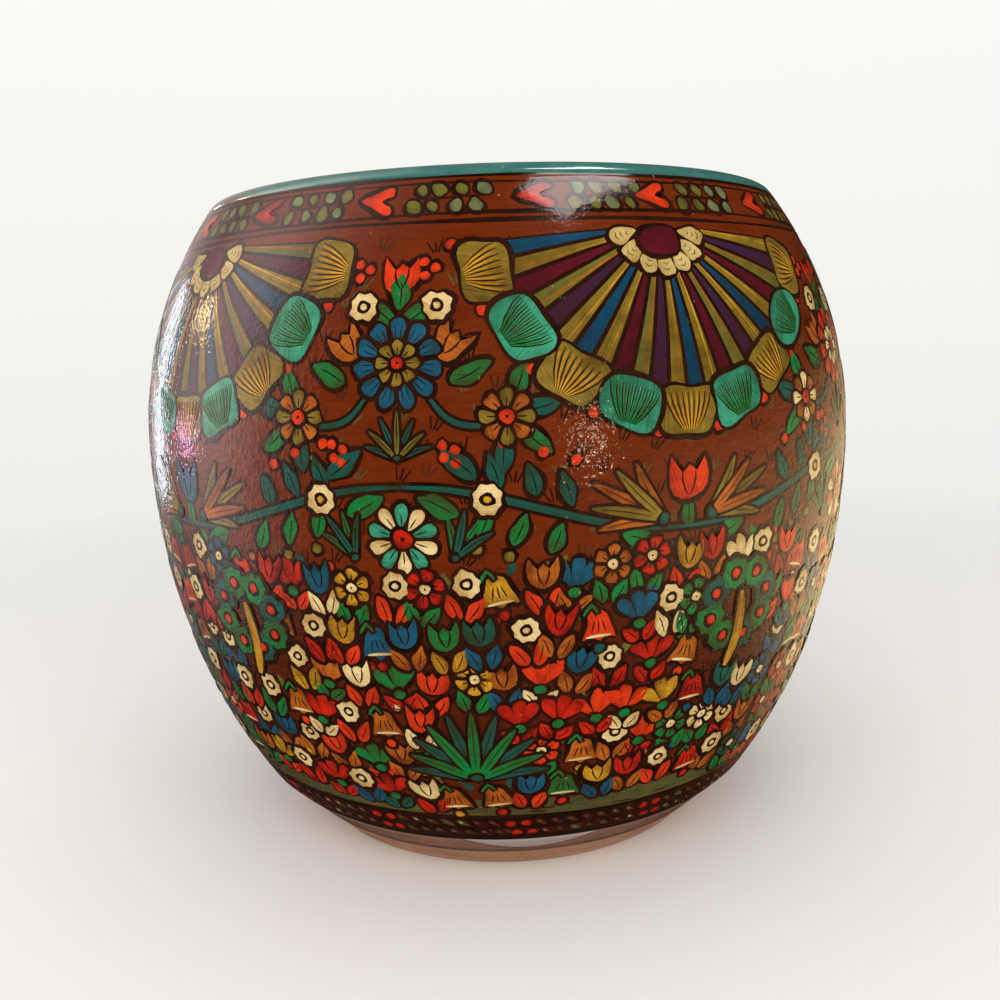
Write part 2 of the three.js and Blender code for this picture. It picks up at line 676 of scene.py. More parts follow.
def turned(section: Sequence[Pair], segments: int) -> bmesh.types.BMesh:
    """Turns a closed section about the pot's axis.

    Args:
        section: Radius and height of each corner, in order round the section.
        segments: How many steps make the full turn.

    Returns:
        The ring as a closed mesh.
    """
    mesh = bmesh.new()
    corners = [mesh.verts.new((0, -radius, height)) for radius, height in section]
    edges = [mesh.edges.new((corners[i - 1], corners[i])) for i in range(len(corners))]
    bmesh.ops.spin(
        mesh,
        geom=corners + edges,
        cent=(0, 0, 0),
        axis=(0, 0, 1),
        dvec=(0, 0, 0),
        angle=FULL_TURN,
        steps=segments,
        use_merge=True,
    )
    bmesh.ops.remove_doubles(mesh, verts=mesh.verts[:], dist=MERGE)
    bmesh.ops.recalc_face_normals(mesh, faces=mesh.faces[:])
    return mesh


def settle(name: str, mesh: bmesh.types.BMesh, finish: Finish) -> bpy.types.Object:
    """Makes a finished piece of a mesh, smooth, on the pot's body.

    Args:
        name: Name of the piece.
        mesh: Its shape, which is freed.
        finish: Its surface.

    Returns:
        The piece.
    """
    data = bpy.data.meshes.new(name)
    for face in mesh.faces:
        face.smooth = True
    mesh.to_mesh(data)
    mesh.free()
    piece = bpy.data.objects.new(name, data)
    bpy.context.scene.collection.objects.link(piece)
    data.materials.append(finish.material())
    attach(piece, "root")
    LOG.info("%s: %d faces", name, len(data.polygons))
    return piece


# Clay rings


@dataclass
class ClayRing:
    """A ring of clay that was luted to its neighbours with slip."""

    node: str
    slot: str
    finish: Finish = RAW_CLAY
    segments: int = 192
    fine: float = 2.5 * MM
    scarf: float = 7 * MM
    slip: float = 0.1 * MM
    ridge: float = 0.35 * MM
    ridge_pitch: float = 8 * MM
    crease_angle: float = 32.0

    def section(self) -> list[Pair]:
        """Corners of the closed section, up the outside and down the inside."""
        raise NotImplementedError

    def below(self, seam: float) -> Pair:
        """Outside and inside heights where a piece ends under a seam."""
        return seam - self.scarf / 2, seam + self.scarf / 2

    def above(self, seam: float) -> Pair:
        """Outside and inside heights where a piece starts over a seam."""
        low, high = self.below(seam)
        return low + self.slip, high + self.slip

    def crease(self, mesh: bmesh.types.BMesh) -> None:
        """Marks the corners of the section as sharp edges."""
        for edge in mesh.edges:
            edge.smooth = edge.calc_face_angle(0.0) < math.radians(self.crease_angle)

    def finger(self, mesh: bmesh.types.BMesh) -> None:
        """Presses the potter's finger marks, a slow spiral, into the inside of the wall.

        Args:
            mesh: The turned ring, which is changed.
        """
        for corner in mesh.verts:
            radius = math.hypot(corner.co.x, corner.co.y)
            hidden = POT.body(min(corner.co.z, POT.rim_line))[0] - radius
            inside = POT.wall * 0.8 <= hidden <= POT.wall * 1.7
            if corner.co.z < POT.floor_top + self.fine or not inside:
                continue
            turn = math.atan2(corner.co.y, corner.co.x)
            wave = math.sin(FULL_TURN * corner.co.z / self.ridge_pitch + turn)
            uneven = 0.6 + 0.4 * math.sin(3 * turn + corner.co.z / self.ridge_pitch)
            push = 1 + self.ridge * wave * uneven / radius
            corner.co.x *= push
            corner.co.y *= push

    def build(self) -> bmesh.types.BMesh:
        """Turns the section and works its surface.

        Returns:
            The ring's mesh.
        """
        mesh = turned(self.section(), self.segments)
        self.finger(mesh)
        self.crease(mesh)
        return mesh

    def dress(self) -> bpy.types.Object:
        """Makes the piece and puts it in the place of its CAD node.

        Returns:
            The piece.
        """
        piece = settle(f"{self.node}_clay", self.build(), self.finish)
        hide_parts(self.node)
        return piece


@dataclass
class FootRing(ClayRing):
    """Plain ring that the pot stands on, with a tongue on its top face."""

    setback: float = 2 * MM
    taper: float = 5 * MM
    width: float = 12 * MM
    edge: float = 1.5 * MM
    tongue: float = 5 * MM
    tongue_height: float = 2 * MM
    worn_edge: tuple[Pair, Pair] = ((0.5 * MM, 0.8 * MM), (0.2 * MM, 0.0))

    def section(self) -> list[Pair]:
        """Rounded at the table, narrower below, with the tongue in the middle of its top.

        Returns:
            Radius and height of each corner.
        """
        top = POT.foot_height - self.slip
        outer = POT.skin(POT.foot_height) - self.setback
        low = outer - self.taper
        inner = low - self.width
        middle = (outer + inner) / 2
        crest = top + self.tongue_height
        return [
            *arc((low - self.edge, self.edge), self.edge, -math.pi / 2, 0, 6),
            (low + self.taper * 0.45, top * 0.5),
            *[(outer - inwards, top - down) for inwards, down in self.worn_edge],
            (middle + self.tongue / 2, top),
            (middle + self.tongue / 2, crest),
            (middle - self.tongue / 2, crest),
            (middle - self.tongue / 2, top),
            (inner, top),
            *arc((inner + self.edge, self.edge), self.edge, math.pi, 1.5 * math.pi, 6),
        ]


@dataclass
class FloorSlab(ClayRing):
    """Disc with the drain hole; its rim is part of the heel."""

    drain: float = 8 * MM
    chamfer: float = 1.5 * MM
    groove_inner: float = 62.8 * MM
    groove_outer: float = 68.6 * MM
    groove_top: float = 10 * MM
    floor_rings: Pair = (50 * MM, 25 * MM)

    def section(self) -> list[Pair]:
        """From the heel up the bevel, in over the floor, down the drain and back out underneath.

        Returns:
            Radius and height of each corner.
        """
        bottom, top = POT.foot_height, POT.floor_top
        return [
            (POT.skin(bottom), bottom),
            (POT.skin(POT.floor_edge), POT.floor_edge),
            POT.inside(POT.behind(top)),
            *[(radius, top) for radius in self.floor_rings],
            *arc((self.drain + self.chamfer, top - self.chamfer), self.chamfer, math.pi / 2, math.pi, 4),
            *arc((self.drain + self.chamfer, bottom + self.chamfer), self.chamfer, math.pi, 1.5 * math.pi, 4),
            (self.groove_inner, bottom),
            (self.groove_inner, self.groove_top),
            (self.groove_outer, self.groove_top),
            (self.groove_outer, bottom),
        ]


@dataclass
class LowerBowl(ClayRing):
    """Trimmed heel and the moulded wall up to the first seam."""

    seam: float = POT.seams[0]

    def section(self) -> list[Pair]:
        """Up the heel and the wall, over the bevel and down the inside.

        Returns:
            Radius and height of each corner.
        """
        outer, inner = self.below(self.seam)
        start = POT.floor_edge + self.slip
        floor = POT.behind(POT.floor_top + self.slip)
        return [
            (POT.skin(start), start),
            *[POT.body(h) for h in heights(POT.heel_height, outer, self.fine)],
            *[POT.inside(h) for h in heights(inner, floor, self.fine)],
        ]


@dataclass
class WallCourse(ClayRing):
    """One course of the wall between two seams."""

    seam_under: float = 0.0
    seam_over: float = 0.0

    def section(self) -> list[Pair]:
        """Up the outside and down the inside, with a bevel at each seam.

        Returns:
            Radius and height of each corner.
        """
        outer_low, inner_low = self.above(self.seam_under)
        outer_high, inner_high = self.below(self.seam_over)
        return [
            *[POT.body(h) for h in heights(outer_low, outer_high, self.fine)],
            *[POT.inside(h) for h in heights(inner_high, inner_low, self.fine)],
        ]


@dataclass
class RimCoil(ClayRing):
    """Last coil of the wall, rolled over into the round lip."""

    seam: float = POT.seams[2]

    def section(self) -> list[Pair]:
        """Up the outside, round the lip and down to the seam.

        Returns:
            Radius and height of each corner.
        """
        outer, inner = self.above(self.seam)
        return [
            *[POT.body(h) for h in heights(outer, POT.rim_line, self.fine)[:-1]],
            *lip_arc(0.0, 0.0, math.pi),
            POT.inside(inner),
        ]


def lip_arc(lift: float, start: float, end: float) -> list[Pair]:
    """Points round the lip, from the rim line over the top.

    Args:
        lift: Distance off the clay.
        start: Angle past the rim line where the points begin.
        end: Angle past the rim line where they end.

    Returns:
        Radius and height of each point.
    """
    across, up = POT.body_outward(POT.rim_line)
    radius, height = POT.body(POT.rim_line)
    centre = (radius - across * POT.lip_radius, height - up * POT.lip_radius)
    first = math.atan2(up, across)
    return arc(centre, POT.lip_radius + lift, first + start, first + end, 18)


# Coats of paint over the clay


@dataclass
class Film:
    """A thin coat that follows the clay all the way round."""

    name: str
    finish: Finish
    slot: str
    thick: float = 0.25 * MM
    sink: float = 0.06 * MM
    segments: int = 240

    def curve(self, lift: float) -> list[Pair]:
        """Points of the coat's section at a distance off the clay."""
        raise NotImplementedError

    def ragged(self, mesh: bmesh.types.BMesh) -> None:
        """Leaves the coat's edges as they are."""

    def dress(self) -> bpy.types.Object:
        """Turns the coat and makes the piece.

        Returns:
            The piece.
        """
        mesh = turned(self.curve(self.thick) + self.curve(-self.sink)[::-1], self.segments)
        self.ragged(mesh)
        return settle(self.name, mesh, self.finish)


@dataclass
class SkinFilm(Film):
    """A coat on the outside of the body between two heights."""

    low: float = 17 * MM
    high: float = POT.rim_line
    fine: float = 2.5 * MM

    def curve(self, lift: float) -> list[Pair]:
        """Points up the outside, with one at the heel's edge.

        Args:
            lift: Distance off the clay.

        Returns:
            Radius and height of each point.
        """
        levels = heights(max(self.low, POT.heel_height), self.high, self.fine)
        if self.low < POT.heel_height:
            levels = [*heights(self.low, POT.heel_height - 0.1 * MM, self.fine), *levels]
        if self.high < POT.heel_height:
            levels = heights(self.low, self.high, self.fine)
        points = []
        for level in levels:
            across, up = POT.outward(level)
            points.append((POT.skin(level) + across * lift, level + up * lift))
        return points


@dataclass
class LipFilm(Film):
    """The coat that is rolled over the lip and runs a little way down the inside."""

    start: float = 206.8 * MM
    inner_run: float = 7 * MM
    aim: float = 193.6 * MM
    mouth: float = 94 * MM
    unevenness: float = 0.9 * MM

    def curve(self, lift: float) -> list[Pair]:
        """From just below the rim line round the lip and down the inside.

        Args:
            lift: Distance off the clay.

        Returns:
            Radius and height of each point.
        """
        across, up = POT.outward(self.start)
        below = (POT.skin(self.start) + across * lift, self.start + up * lift)
        over = [below, *lip_arc(lift, 0.0, math.pi)]
        inner_radius, inner_height = POT.inside(POT.behind(self.aim))
        radius, height = over[-1]
        reach = math.hypot(inner_radius - radius, inner_height - height)
        share = self.inner_run / reach
        end = (radius + (inner_radius - radius) * share, height + (inner_height - height) * share)
        middle = ((radius + end[0]) / 2, (height + end[1]) / 2)
        return [*over, middle, end]

    def ragged(self, mesh: bmesh.types.BMesh) -> None:
        """Lets the brush end unevenly inside the mouth.

        Args:
            mesh: The turned coat, which is changed.
        """
        start = lip_arc(0.0, 0.0, math.pi)[-1][1]
        for corner in mesh.verts:
            if corner.co.z < start and math.hypot(corner.co.x, corner.co.y) < self.mouth:
                turn = math.atan2(corner.co.y, corner.co.x)
                wave = math.sin(9 * turn) + 0.7 * math.sin(23 * turn + 1.0)
                corner.co.z += self.unevenness * wave * (start - corner.co.z) / self.inner_run


# Brushwork


def ringed(count: int, inner: float) -> tuple[Pair, ...]:
    """Places corners on a circle, every other one drawn in.

    Args:
        count: How many corners there are.
        inner: Radius of the first corner and every other one.

    Returns:
        The corners from the top round to the left.
    """
    turns = [FULL_TURN * k / count for k in range(count)]
    radii = [1.0 if k % 2 else inner for k in range(count)]
    return tuple((-radius * math.sin(a), radius * math.cos(a)) for a, radius in zip(turns, radii))


def mirrored(top: float, left: Sequence[Pair], bottom: float) -> tuple[Pair, ...]:
    """Closes an outline from its topmost corner, the corners down its left side and its lowest corner."""
    right = [(-x, y) for x, y in reversed(left)]
    return ((0, top), *left, (0, bottom), *right)


class Outline(Enum):
    """Shapes that one dab of the brush fills: corners of a smooth curve, from the top round to the left."""

    DISC = ringed(8, 1.0)
    FRILL = ringed(16, 0.87)
    LEAF = mirrored(1, ((-0.46, 0.68), (-0.82, 0.28), (-0.94, -0.18), (-0.66, -0.66)), -1)
    DROP = mirrored(1, ((-0.75, 0.82), (-0.98, 0.35), (-0.6, -0.35)), -1)
    HEART = mirrored(0.2, ((-0.42, 0.86), (-0.82, 0.88), (-0.96, 0.45), (-0.52, -0.3)), -1)
    TULIP = mirrored(0.72, ((-0.36, 0.36), (-0.84, 1), (-0.98, 0.2), (-0.72, -0.6)), -1)
    BELL = mirrored(1, ((-0.55, 0.82), (-0.74, 0.15), (-1, -0.8), (-0.48, -0.66)), -0.96)
    PAD = mirrored(0.95, ((-0.75, 0.8), (-0.98, 0), (-0.75, -0.8)), -0.95)


def smooth_point(points: Sequence[Pair], at: float, closed: bool) -> Pair:
    """Point on a smooth curve through corners.

    Args:
        points: The corners.
        at: Place along the curve, where each corner is a whole number.
        closed: Whether the last corner joins the first.

    Returns:
        The point.
    """
    count = len(points)
    first = int(math.floor(at)) if closed else min(int(at), count - 2)
    share = at - first
    near = [first - 1, first, first + 1, first + 2]
    near = [i % count if closed else min(max(i, 0), count - 1) for i in near]
    sides = zip(*[points[i] for i in near])
    return tuple(
        b + share * ((c - a) + share * ((2 * a - 5 * b + 4 * c - d) + share * (3 * b - a - 3 * c + d))) / 2
        for a, b, c, d in sides
    )


@dataclass(frozen=True)
class Spot:
    """A place on the wall where a motif goes.

    Attributes:
        turn: Degrees round from the front, to the right.
        height: Metres over the table.
        tilt: Degrees that the motif is turned.
        over: Metres that its paint lies over other paint.
    """

    turn: float
    height: float
    tilt: float = 0.0
    over: float = 0.0

    def shift(self, across: float, up: float, tilt: float = 0.0) -> "Spot":
        """The spot some millimetres across and up from here, in this spot's own directions.

        Args:
            across: Millimetres across.
            up: Millimetres up.
            tilt: Degrees that it is turned further.

        Returns:
            The new spot.
        """
        x, y = self.lean(across * MM, up * MM)
        height = POT.height(POT.climb(self.height) + y)
        return Spot(self.turn + math.degrees(x / POT.skin(height)), height, self.tilt + tilt, self.over)

    def lean(self, across: float, up: float) -> Pair:
        """Turns a step by this spot's tilt."""
        cosine, sine = math.cos(math.radians(self.tilt)), math.sin(math.radians(self.tilt))
        return across * cosine - up * sine, across * sine + up * cosine

    def tilted(self, by: float) -> "Spot":
        """The same place, tilted further."""
        return replace(self, tilt=self.tilt + by)

    def on_top(self, times: int = 1) -> "Spot":
        """The same place over a finished motif, or over several."""
        return replace(self, over=self.over + MOTIF_STEP * times)


@dataclass(frozen=True)
class Hoop:
    """A line all the way round the pot: its height, its width and how far the hand wavers, in millimetres."""

    height: float
    width: float
    waver: float = 0.35


@dataclass
class PaintBox:
    """The brushwork on one field of the wall, kept as one mesh for each paint."""

    field_name: str
    dice: random.Random
    batches: random.Random
    ground: float = 0.25 * MM
    sink: float = 0.05 * MM
    edge: float = 0.12 * MM
    bend: float = 0.08
    uneven_lift: float = 0.008
    hoop_steps: int = 240
    layers: dict[Pigment, bmesh.types.BMesh] = field(default_factory=dict)

    def blank(self) -> bmesh.types.BMesh:
        """An empty mesh whose corners hold what a dab knows.

        Returns:
            The mesh.
        """
        mesh = bmesh.new()
        for name in DAB_LAYERS:
            mesh.verts.layers.float.new(name)
        return mesh

    def lay(self, pigment: Pigment, dab: bmesh.types.BMesh, spot: Spot) -> None:
        """Wraps a flat dab on the wall and adds it to its paint.

        Args:
            pigment: The paint.
            dab: A flat closed shape, in metres across, up and off the wall; it is freed.
            spot: Where its middle goes.
        """
        climb = POT.climb(spot.height)
        turn = math.radians(spot.turn)
        for corner in dab.verts:
            x, y = spot.lean(corner.co.x, corner.co.y)
            height = POT.height(climb + y)
            lift = corner.co.z + (spot.over if corner.co.z > 0 else 0.0)
            corner.co = POT.wrap(turn + x / POT.skin(height), height, self.ground + lift)
        self.keep(pigment, dab)

    def keep(self, pigment: Pigment, dab: bmesh.types.BMesh) -> None:
        """Adds a wrapped dab to its paint, as one batch, and frees it.

        Args:
            pigment: The paint.
            dab: The closed shape, in its place on the wall.
        """
        batch = self.batches.random()
        layer = dab.verts.layers.float["batch"]
        for corner in dab.verts:
            corner[layer] = batch
        spare = bpy.data.meshes.new("dab")
        dab.to_mesh(spare)
        dab.free()
        self.layers.setdefault(pigment, self.blank()).from_mesh(spare)
        bpy.data.meshes.remove(spare)

    def dab(self, corners: Sequence[Pair], lift: float) -> bmesh.types.BMesh:
        """Makes one flat dab with softened edges.

        Args:
            corners: Its outline from the top round to the left, in metres.
            lift: Height of its top over the ground coat.

        Returns:
            The closed shape.
        """
        mesh = self.blank()
        bmesh.ops.create_circle(mesh, cap_ends=True, segments=len(corners), radius=1.0)
        for corner, (x, y) in zip(mesh.verts, corners):
            corner.co = (x, y, -self.sink)
        under = mesh.faces[:]
        copy = bmesh.ops.duplicate(mesh, geom=under)["geom"]
        over = [part for part in copy if isinstance(part, bmesh.types.BMFace)]
        bmesh.ops.reverse_faces(mesh, faces=under)
        bmesh.ops.inset_individual(mesh, faces=over, thickness=self.edge, depth=lift + self.sink)
        load = mesh.verts.layers.float["load"]
        heavy = self.batches.uniform(0, FULL_TURN)
        for corner in mesh.verts:
            corner[load] = 0.35 + 0.35 * math.cos(math.atan2(corner.co.y, corner.co.x) - heavy)
        for corner in bmesh.ops.poke(mesh, faces=over)["verts"]:
            corner[load] = 0.9
        bmesh.ops.remove_doubles(mesh, verts=mesh.verts[:], dist=MERGE)
        hair = mesh.verts.layers.float["hair"]
        for corner in mesh.verts:
            corner[hair] = (corner.co.x * math.cos(heavy) + corner.co.y * math.sin(heavy)) / MM
        return mesh

    def blot(
        self,
        pigment: Pigment,
        outline: Outline,
        spot: Spot,
        half: Pair,
        line: float = 1.1,
        coat: Coat = Coat.FILL,
        count: int = 0,
    ) -> None:
        """Fills a shape with paint and draws its dark line.

        Args:
            pigment: The paint.
            outline: The shape.
            spot: Where its middle goes.
            half: Half its width and half its height, in millimetres.
            line: Width of the dark line round it, in millimetres, or 0 for none.
            coat: The layer it is painted in.
            count: How many corners it has, or 0 for as many as its size needs.
        """
        count = count or min(32, 11 + round(2.4 * max(half)))
        bend = [self.dice.uniform(-self.bend, self.bend) for _ in range(3)]
        phase = [self.dice.uniform(0, FULL_TURN) for _ in range(4)]

        def at(share: float) -> Pair:
            """Point of the hand-drawn outline.

            Args:
                share: Place round the outline, 0 to 1.

            Returns:
                Metres across and up.
            """
            x, y = smooth_point(outline.value, (share % 1.0) * len(outline.value), True)
            waver = 1 + sum(b * math.sin((k + 2) * FULL_TURN * share + phase[k]) for k, b in enumerate(bend))
            return x * half[0] * waver * MM, y * half[1] * waver * MM

        def grown(out: float) -> list[Pair]:
            """The outline moved outwards, a little unevenly.

            Args:
                out: How far, in metres.

            Returns:
                Its corners, in metres.
            """
            corners = []
            for k in range(count):
                share = k / count
                x, y = at(share)
                (ax, ay), (bx, by) = at(share - 0.04), at(share + 0.04)
                dx, dy = bx - ax, by - ay
                size = math.hypot(dx, dy) or 1.0
                around = FULL_TURN * share + phase[3]
                push = out * (1 + 0.35 * math.sin(around) + 0.2 * math.sin(3 * around))
                corners.append((x + dy / size * push, y - dx / size * push))
            return corners

        jitter = self.dice.uniform(0, self.uneven_lift) * MM
        if line:
            self.lay(Pigment.LINE, self.dab(grown(line * MM), Coat.LINE.value + jitter), spot)
        self.lay(pigment, self.dab(grown(0.0), coat.value + jitter), spot)

    def stroke(
        self,
        pigment: Pigment,
        spot: Spot,
        path: Sequence[Pair],
        width: Union[float, Breadth],
        line: float = 0.0,
        coat: Coat = Coat.MARK,
        steps: int = 8,
    ) -> None:
        """Draws one brush stroke that thins out at both ends.

        Args:
            pigment: The paint.
            spot: Where the path's origin goes.
            path: Corners of the smooth path, in millimetres.
            width: Full width in millimetres, or a function of the share of the path.
            line: Width of the dark line round it, in millimetres, or 0 for none.
            coat: The layer it is painted in.
            steps: How many steps follow the path.
        """
        breadth = width if callable(width) else lambda share: width * math.sin(math.pi * share) ** 0.4
        jitter = self.dice.uniform(0, self.uneven_lift) * MM
        if line:
            lined = Coat.LINE.value + jitter
            self.sweep(Pigment.LINE, spot, path, lambda s: breadth(s) + 2 * line, lined, steps, line)
        self.sweep(pigment, spot, path, breadth, coat.value + jitter, steps, 0.0)

    def sweep(
        self,
        pigment: Pigment,
        spot: Spot,
        path: Sequence[Pair],
        breadth: Breadth,
        lift: float,
        steps: int,
        extend: float,
    ) -> None:
        """Sweeps a flat strip along a path and closes its ends to points.

        Args:
            pigment: The paint.
            spot: Where the path's origin goes.
            path: Corners of the smooth path, in millimetres.
            breadth: Full width in millimetres at a share of the path.
            lift: Height of its top over the ground coat.
            steps: How many steps follow the path.
            extend: How far it runs past the path's ends, in millimetres.
        """
        mesh = self.blank()
        load, _, hair = [mesh.verts.layers.float[name] for name in DAB_LAYERS]
        bmesh.ops.create_grid(mesh, x_segments=steps, y_segments=3, size=1.0)
        upper = mesh.verts[:]
        bmesh.ops.create_grid(mesh, x_segments=steps, y_segments=1, size=1.0)
        bmesh.ops.reverse_faces(mesh, faces=mesh.faces[steps * 3 :])
        lower = set(mesh.verts[len(upper) :])
        last = len(path) - 1
        for corner in mesh.verts:
            share = (1 - math.cos(math.pi * (corner.co.x + 1) / 2)) / 2
            side = corner.co.y
            x, y = smooth_point(path, share * last, False)
            (ax, ay), (bx, by) = [
                smooth_point(path, min(max(share + d, 0.0), 1.0) * last, False) for d in (-0.03, 0.03)
            ]
            size = math.hypot(bx - ax, by - ay) or 1.0
            along = ((bx - ax) / size, (by - ay) / size)
            tip = abs(corner.co.x) > 0.999
            half = 0.0 if tip else breadth(share) / 2
            rim = abs(side) > 0.9
            reach = half if rim else max(half - self.edge / MM, half * 0.4)
            push = math.copysign(reach, side)
            out = extend * (2 * share - 1) ** 3
            corner.co.x = (x - along[1] * push + along[0] * out) * MM
            corner.co.y = (y + along[0] * push + along[1] * out) * MM
            corner.co.z = -self.sink if rim or tip or corner in lower else lift
            corner[load] = 1 - 0.9 * share
            corner[hair] = push
        bmesh.ops.remove_doubles(mesh, verts=mesh.verts[:], dist=MERGE)
        self.lay(pigment, mesh, spot)

    def draw_hoop(self, pigment: Pigment, hoop: Hoop, coat: Coat) -> None:
        """Draws a line all the way round the pot.

        Args:
            pigment: The paint.
            hoop: The line.
            coat: The layer it is painted in.
        """
        phase = [self.dice.uniform(0, FULL_TURN) for _ in range(4)]
        mesh = self.blank()
        load, _, hair = [mesh.verts.layers.float[name] for name in DAB_LAYERS]
        steps = self.hoop_steps
        bmesh.ops.create_grid(mesh, x_segments=steps, y_segments=5, size=1.0)
        count = len(mesh.verts)
        bmesh.ops.create_grid(mesh, x_segments=steps, y_segments=1, size=1.0)
        bmesh.ops.reverse_faces(mesh, faces=mesh.faces[steps * 5 :])
        for i, corner in enumerate(mesh.verts):
            turn = math.pi * corner.co.x
            hand = math.sin(3 * turn + phase[0]) + 0.6 * math.sin(8 * turn + phase[1])
            swell = 0.25 * math.sin(5 * turn + phase[2]) + 0.2 * math.sin(13 * turn + phase[3])
            thick = 1 + swell / hoop.width
            rim = abs(corner.co.y) > 0.9
            half = hoop.width * thick / 2 * MM
            side = math.copysign(half, corner.co.y) if rim else (half - self.edge) * corner.co.y / 0.6
            level = POT.height(POT.climb(hoop.height * MM) + hand * hoop.waver * MM * 0.6 + side)
            lift = -self.sink if rim or i >= count else coat.value
            corner.co = POT.wrap(turn, level, self.ground + lift)
            corner[load] = 0.6 + 0.4 * math.sin(7 * turn + phase[0])
            corner[hair] = side / MM
        bmesh.ops.remove_doubles(mesh, verts=mesh.verts[:], dist=MERGE)
        self.keep(pigment, mesh)

    def dress(self) -> None:
        """Makes one piece of each paint, lit as part of the smooth varnished wall."""
        for pigment, mesh in self.layers.items():
            finish = pigment.value
            name = f"{self.field_name}_{finish.name.replace('paint', 'brushwork')}"
            piece = settle(name, mesh, finish)
            normals = [POT.normal(corner.co) for corner in piece.data.vertices]
            piece.data.normals_split_custom_set_from_vertices(normals)


@dataclass
class Blooms:
    """Flowers, leaves and berries, each drawn with a few dabs."""

    box: PaintBox
    dice: random.Random

    def leaf(self, spot: Spot, half: Pair, pigment: Pigment, line: float = 1.0) -> None:
        """One leaf with a dark midrib.

        Args:
            spot: Middle of the leaf.
            half: Half its width and half its length, in millimetres.
            pigment: Its paint.
            line: Width of the dark line round it, in millimetres.
        """
        self.box.blot(pigment, Outline.LEAF, spot, half, line)
        rib = [(0, -half[1] * 0.85), (half[0] * 0.12, 0), (0, half[1] * 0.55)]
        self.box.stroke(Pigment.LINE, spot, rib, 0.6, steps=5)

    def leaf_pair(self, spot: Spot, half: Pair, pigment: Pigment, spread: float = 24.0) -> None:
        """Two leaves below a bloom, parting upwards from one foot.

        Args:
            spot: Where they part.
            half: Half the width and half the length of each, in millimetres.
            pigment: Their paint.
            spread: Degrees that each leans out.
        """
        for side in (-1, 1):
            tilt = -side * (spread + self.dice.uniform(-6, 6))
            self.leaf(spot.shift(side * (half[0] + 0.7), 0, tilt), half, pigment)

    def daisy(self, spot: Spot, radius: float, eye: Pigment, pigment: Pigment = Pigment.CREAM) -> None:
        """A frilled bloom with a dark ring round its eye.

        Args:
            spot: Its middle.
            radius: Its radius in millimetres.
            eye: Paint of its eye.
            pigment: Paint of its frill.
        """
        box = self.box
        box.blot(pigment, Outline.FRILL, spot, (radius, radius), 1.1, count=32)
        box.blot(Pigment.LINE, Outline.DISC, spot, (radius * 0.5, radius * 0.47), 0, Coat.MARK, 12)
        box.blot(eye, Outline.DISC, spot, (radius * 0.27, radius * 0.25), 0, Coat.EYE, 10)

    def tulip(self, spot: Spot, size: float, pigment: Pigment) -> None:
        """A cup of three petals with folds drawn in.

        Args:
            spot: Its middle.
            size: Half its height in millimetres.
            pigment: Its paint.
        """
        box = self.box
        box.blot(pigment, Outline.TULIP, spot, (size, size), 1.15, count=20)
        for side in (-1, 1):
            fold = [(side * size * 0.34, size * 0.42), (side * size * 0.3, -size * 0.2), (0, -size * 0.75)]
            box.stroke(Pigment.LINE, spot, fold, 0.75, steps=5)

    def bell(self, spot: Spot, size: float, pigment: Pigment) -> None:
        """A hanging bell with pleats and a pale hem, on a bent stalk.

        Args:
            spot: Its middle.
            size: Half its height in millimetres.
            pigment: Its paint.
        """
        box = self.box
        stalk = [(-size * 0.9, size * 0.7), (-size * 0.35, size * 1.35), (0, size * 0.75)]
        box.stroke(Pigment.GREEN, spot.on_top(), stalk, 1.3, 0.7, Coat.FILL, 6)
        box.blot(pigment, Outline.BELL, spot, (size, size), 1.15, count=24)
        for side in (-0.4, 0, 0.4):
            pleat = [(side * size * 0.5, size * 0.4), (side * size * 1.1, -size * 0.45)]
            box.stroke(Pigment.LINE, spot, pleat, 0.65, steps=4)
        hem = [(-size * 0.8, -size * 0.66), (0, -size * 0.62), (size * 0.8, -size * 0.66)]
        box.stroke(Pigment.CREAM, spot, hem, 1.1, steps=6)

    def buds(self, spot: Spot, size: float, pigment: Pigment, count: int = 3) -> None:
        """A fan of buds on one stalk.

        Args:
            spot: Where they part.
            size: Length of a bud in millimetres.
            pigment: Their paint.
            count: How many there are.
        """
        for k in range(count):
            bud = spot.tilted((k - (count - 1) / 2) * -36 + self.dice.uniform(-5, 5)).shift(0, size * 0.8)
            self.box.blot(pigment, Outline.DROP, bud, (size * 0.33, size * 0.7), 1.0, count=14)
        calyx = spot.shift(0, -size * 0.1).on_top()
        self.box.blot(Pigment.GREEN, Outline.DISC, calyx, (size * 0.3, size * 0.26), 0.9, count=10)

    def rosette(
        self,
        spot: Spot,
        radius: float,
        count: int,
        pigment: Pigment,
        other: Pigment,
        eye: Pigment,
    ) -> None:
        """A round bloom of petals in two colours.

        Args:
            spot: Its middle.
            radius: Its radius in millimetres.
            count: How many petals it has.
            pigment: Paint of the even petals.
            other: Paint of the odd petals.
            eye: Paint of its eye.
        """
        box = self.box
        half = (radius * min(0.36, 2.0 / count), radius * 0.36)
        for k in range(count):
            petal = spot.tilted(360 * k / count).shift(0, radius * 0.62)
            box.blot(other if k % 2 else pigment, Outline.DROP, petal, half, 1.0, count=14)
            box.stroke(Pigment.LINE, petal, [(0, -half[1] * 0.8), (0, half[1] * 0.3)], 0.6, steps=4)
        heart = spot.on_top()
        box.blot(eye, Outline.DISC, heart, (radius * 0.28, radius * 0.27), 0.9, Coat.FILL, 14)
        box.blot(Pigment.LINE, Outline.DISC, heart, (radius * 0.08, radius * 0.08), 0, Coat.MARK, 8)

